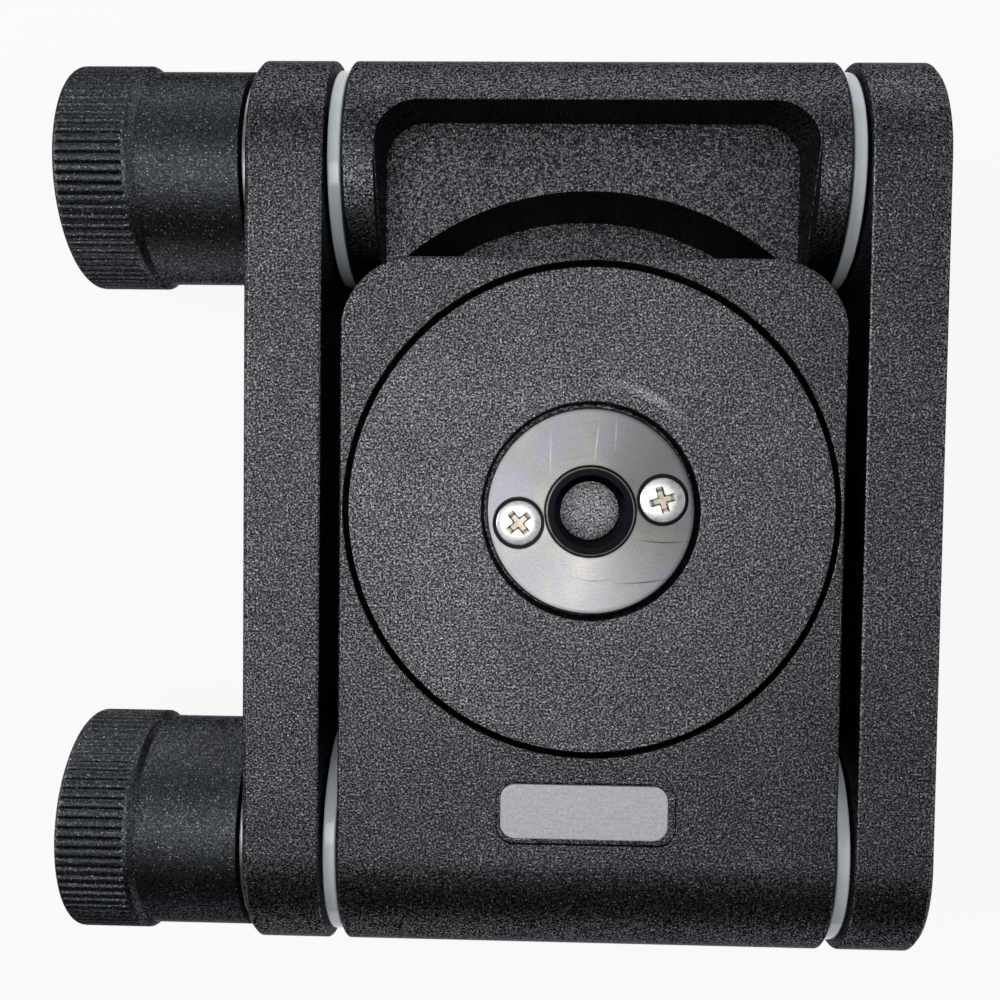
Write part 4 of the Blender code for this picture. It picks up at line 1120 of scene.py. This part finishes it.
def build_pivot_bolt(node, y):
    tip, face = x_ends(node)
    neck = face - BOLT_HEAD_HEIGHT
    centre = (0, y, HINGE_Z)
    thread_end = HALF_BARREL - SUPPORT
    corners = [
        (face, BOLT_HEAD_RADIUS - STUD_TIP_CHAMFER - SUPPORT),
        (face, BOLT_HEAD_RADIUS - STUD_TIP_CHAMFER),
        (face - STUD_TIP_CHAMFER, BOLT_HEAD_RADIUS),
        (neck, BOLT_HEAD_RADIUS),
        (neck, STUD_RADIUS),
        (thread_end + SUPPORT, STUD_RADIUS),
        (thread_end, STUD_THREAD_ROOT),
    ]
    start, end = tip + SUPPORT, thread_end - SUPPORT
    profile = eased(corners) + thread_levels(start, end, STUD_THREAD_ROOT, STUD_THREAD_PITCH)[::-1]
    profile.append((tip, STUD_THREAD_ROOT))
    shape = thread(STUD_THREAD_ROOT, STUD_THREAD_DEPTH, STUD_THREAD_PITCH, start, end)
    bolt = turned(profile, centre, "X", SMALL_STEPS, shape=shape)
    socket = flared_rod(face - BOLT_SOCKET_DEPTH, face, BOLT_SOCKET_RADIUS, centre, "X", BOLT_SOCKET_SIDES)
    add_piece(node, bolt, "black_oxide", cuts(socket))


# A clamp knob: knurled grip with a rounded end and a chamfered shoulder, and a plain sleeve.
def build_knob(node, y):
    shoulder = KNOB_END_X + KNURL_LENGTH
    stop = shoulder - KNURL_RIM
    cap_floor = x_ends(f"{node}_cap")[1] + FIT_GAP
    cap_seat = KNOB_CAP_RADIUS + FIT_GAP
    end_round = arc(KNOB_END_X + KNOB_END_ROUND, KNURL_RADIUS - KNOB_END_ROUND, KNOB_END_ROUND,
                    pi, -pi / 2, CORNER_STEPS // 2)
    inside = [
        (SLEEVE_END_X, STUD_HOLE_RADIUS),
        (cap_floor, STUD_HOLE_RADIUS),
        (cap_floor, cap_seat),
        (KNOB_END_X, cap_seat),
        end_round[0],
    ]
    outside = [
        end_round[-1],
        (stop - KNURL_RUNOUT, KNURL_RADIUS),
        (stop, KNURL_RADIUS),
        (shoulder, KNURL_RADIUS),
        (shoulder + KNOB_SHOULDER, SLEEVE_RADIUS),
        (SLEEVE_END_X, SLEEVE_RADIUS),
        (SLEEVE_END_X, SLEEVE_RADIUS - SUPPORT),
    ]
    profile = eased(inside)[:-1] + end_round + eased(outside)[1:]
    shape = ridged(KNURL_RADIUS, KNURL_DEPTH, KNURL_RIDGES, stop)
    grip = turned(profile, (0, y, HINGE_Z), "X", KNURL_RIDGES * RIDGE_STEPS, closed=True, shape=shape)
    add_piece(node, grip, "knob_black")
    build_knob_cap(f"{node}_cap", y)
    build_knob_stud(f"{node}_stud", y)


def build_knob_cap(node, y):
    start, end = x_ends(node)
    corners = [
        (start + KNOB_CAP_DISH, SUPPORT),
        (start + KNOB_CAP_DISH, KNOB_CAP_RADIUS * KNOB_CAP_FLOOR_SHARE),
        (start, KNOB_CAP_RADIUS * KNOB_CAP_RIM_SHARE),
        (start, KNOB_CAP_RADIUS - EDGE),
        (start + EDGE, KNOB_CAP_RADIUS),
        (end, KNOB_CAP_RADIUS),
        (end, KNOB_CAP_RADIUS - SUPPORT),
    ]
    add_piece(node, turned(eased(corners), (0, y, HINGE_Z), "X", ROUND_STEPS), "knob_cap_black")


def build_knob_stud(node, y):
    start, tip = x_ends(node)
    neck, end = SUPPORT - ARM_INNER, tip - SUPPORT
    profile = [(start, STUD_RADIUS - SUPPORT), (start, STUD_RADIUS), (-ARM_INNER - SUPPORT, STUD_RADIUS)]
    profile += thread_levels(neck, end, STUD_THREAD_ROOT, STUD_THREAD_PITCH)
    profile.append((tip, STUD_THREAD_ROOT))
    shape = thread(STUD_THREAD_ROOT, STUD_THREAD_DEPTH, STUD_THREAD_PITCH, neck + SUPPORT, end)
    add_piece(node, turned(profile, (0, y, HINGE_Z), "X", SMALL_STEPS, shape=shape), "zinc_steel")


def build_pieces():
    build_arm("left_arm", -1)
    build_arm("right_arm", 1)
    build_base()
    build_label()
    build_pan_disc()
    build_thread_plate()
    build_bushing()
    build_retainer()
    build_flat_ring("pan_friction_ring", PAN_BORE_RADIUS + FIT_GAP, 0, "pale_acetal")
    build_flat_ring("pan_lower_ring", HUB_RADIUS + FIT_GAP, 0, "pale_acetal")
    for side, place, turn in zip(("left", "right"), PLATE_SCREW_PLACES, CROSS_TURNS):
        build_small_screw(f"thread_plate_screw_{side}", place, 1, PLATE_SCREW_HEAD_RADIUS,
                          PLATE_SCREW_HEAD_HEIGHT, turn, "seated_screw")
    for number, place in enumerate(RETAINER_SCREW_PLACES, 1):
        build_small_screw(f"retainer_screw_{number}", place, -1, RETAINER_SCREW_HEAD_RADIUS,
                          RETAINER_SCREW_HEAD_HEIGHT, 0.0, "nickel_screw")
    build_camera_section()
    build_pad("front_pad")
    build_pad("rear_pad")
    build_o_ring()
    build_camera_screw()
    build_flat_ring("camera_screw_washer", SCREW_THREAD_RADIUS + FIT_GAP, SCREW_Y, "zinc_steel")
    for prefix, y in (("lower", LOWER_Y), ("upper", UPPER_Y)):
        for side in ("left", "right"):
            build_hinge_washer(f"{prefix}_{side}_washer", FRICTION_WASHER_BORE, 2 * EASE, "pale_acetal")
        build_hinge_washer(f"{prefix}_thrust_washer", STUD_HOLE_RADIUS, EASE, "zinc_steel")
        build_pivot_bolt(f"{prefix}_pivot_bolt", y)
        build_knob(f"{prefix}_knob", y)


def add_camera():
    data = bpy.data.cameras.new("camera")
    data.sensor_width = CAMERA_SENSOR
    data.lens = CAMERA_LENS
    data.shift_x, data.shift_y = CAMERA_SHIFT
    data.clip_start, data.clip_end = CAMERA_CLIP
    camera = bpy.data.objects.new("camera", data)
    place = Matrix.Translation(CAMERA_PLACE)
    for axis, degrees in CAMERA_TURNS:
        place = place @ Matrix.Rotation(radians(degrees), 4, axis)
    camera.matrix_world = place
    bpy.context.scene.collection.objects.link(camera)
    bpy.context.scene.camera = camera


# A rectangular lamp that faces the middle of the tripod face.
def add_softbox(name, place, size, power, colour):
    data = bpy.data.lights.new(name, "AREA")
    data.shape = "RECTANGLE"
    data.size, data.size_y = size
    data.energy = power
    data.color = colour
    lamp = bpy.data.objects.new(name, data)
    lamp.location = place
    lamp.rotation_mode = "QUATERNION"
    lamp.rotation_quaternion = (Vector((MID_X, 0, FACE_Z)) - Vector(place)).to_track_quat("-Z", "Y")
    bpy.context.scene.collection.objects.link(lamp)


# A pale horizon under a dim ceiling, the same from every side.
def add_world():
    world = bpy.data.worlds.new("studio")
    world.use_nodes = True
    tree = world.node_tree
    direction = tree.nodes.new("ShaderNodeSeparateXYZ")
    tree.links.new(tree.nodes.new("ShaderNodeTexCoord").outputs["Generated"], direction.inputs[0])
    fade = tree.nodes.new("ShaderNodeValToRGB")
    set_stops(fade.color_ramp, (HORIZON, CEILING))
    tree.links.new(direction.outputs["Z"], fade.inputs["Fac"])
    tree.links.new(fade.outputs["Color"], tree.nodes["Background"].inputs["Color"])
    bpy.context.scene.world = world


# A white floor that keeps the object's shadow.
def add_floor():
    bm = bmesh.new()
    bmesh.ops.create_grid(bm, x_segments=1, y_segments=1, size=FLOOR_REACH)
    floor = link("floor", bm)
    floor.location.z = cad_box[0].z - EASE
    finish = Finish("floor", (0.90, 0.90, 0.90), 0.9)
    rays = finish.add("ShaderNodeLightPath").outputs
    seen = finish.maths("MAXIMUM", rays["Is Camera Ray"], rays["Is Glossy Ray"])
    seen = finish.maths("MAXIMUM", seen, rays["Is Transmission Ray"])
    glow = finish.add("ShaderNodeEmission", {"Strength": 1.0})
    blend = finish.add("ShaderNodeMixShader", {"Fac": finish.product(seen, FLOOR_GLOW)})
    finish.feed(blend.inputs[1:], (finish.shader.outputs["BSDF"], glow.outputs["Emission"]))
    finish.set(finish.tree.nodes["Material Output"], {"Surface": blend.outputs["Shader"]})
    floor.data.materials.append(finish.material)


# A dark card beyond the front edge, which the slopes that face it show and the camera doesn't.
def add_card():
    bm = bmesh.new()
    corners = [(-CARD_REACH, 0.0), (CARD_REACH, 0.0), (CARD_REACH, CARD_TOP), (-CARD_REACH, CARD_TOP)]
    bm.faces.new([bm.verts.new((x, CARD_Y, z)) for x, z in corners])
    card = link("dark_card", bm)
    card.data.materials.append(Finish("dark_card", (0.02, 0.02, 0.02), 0.9).material)
    card.visible_camera = False


FINISHES = (grained_black, scuffed_lit_black, knob_black, turned_steel, black_oxide, worn_oxide, nickel_screw,
            seated_screw, pale_acetal, silver_label, zinc_steel, pad_rubber, knob_cap_black)

bpy.context.scene.view_settings.view_transform = "Standard"
materials = {make.__name__: make() for make in FINISHES}
build_pieces()
add_camera()
add_world()
add_floor()
add_card()
for lamp in LAMPS:
    add_softbox(*lamp)
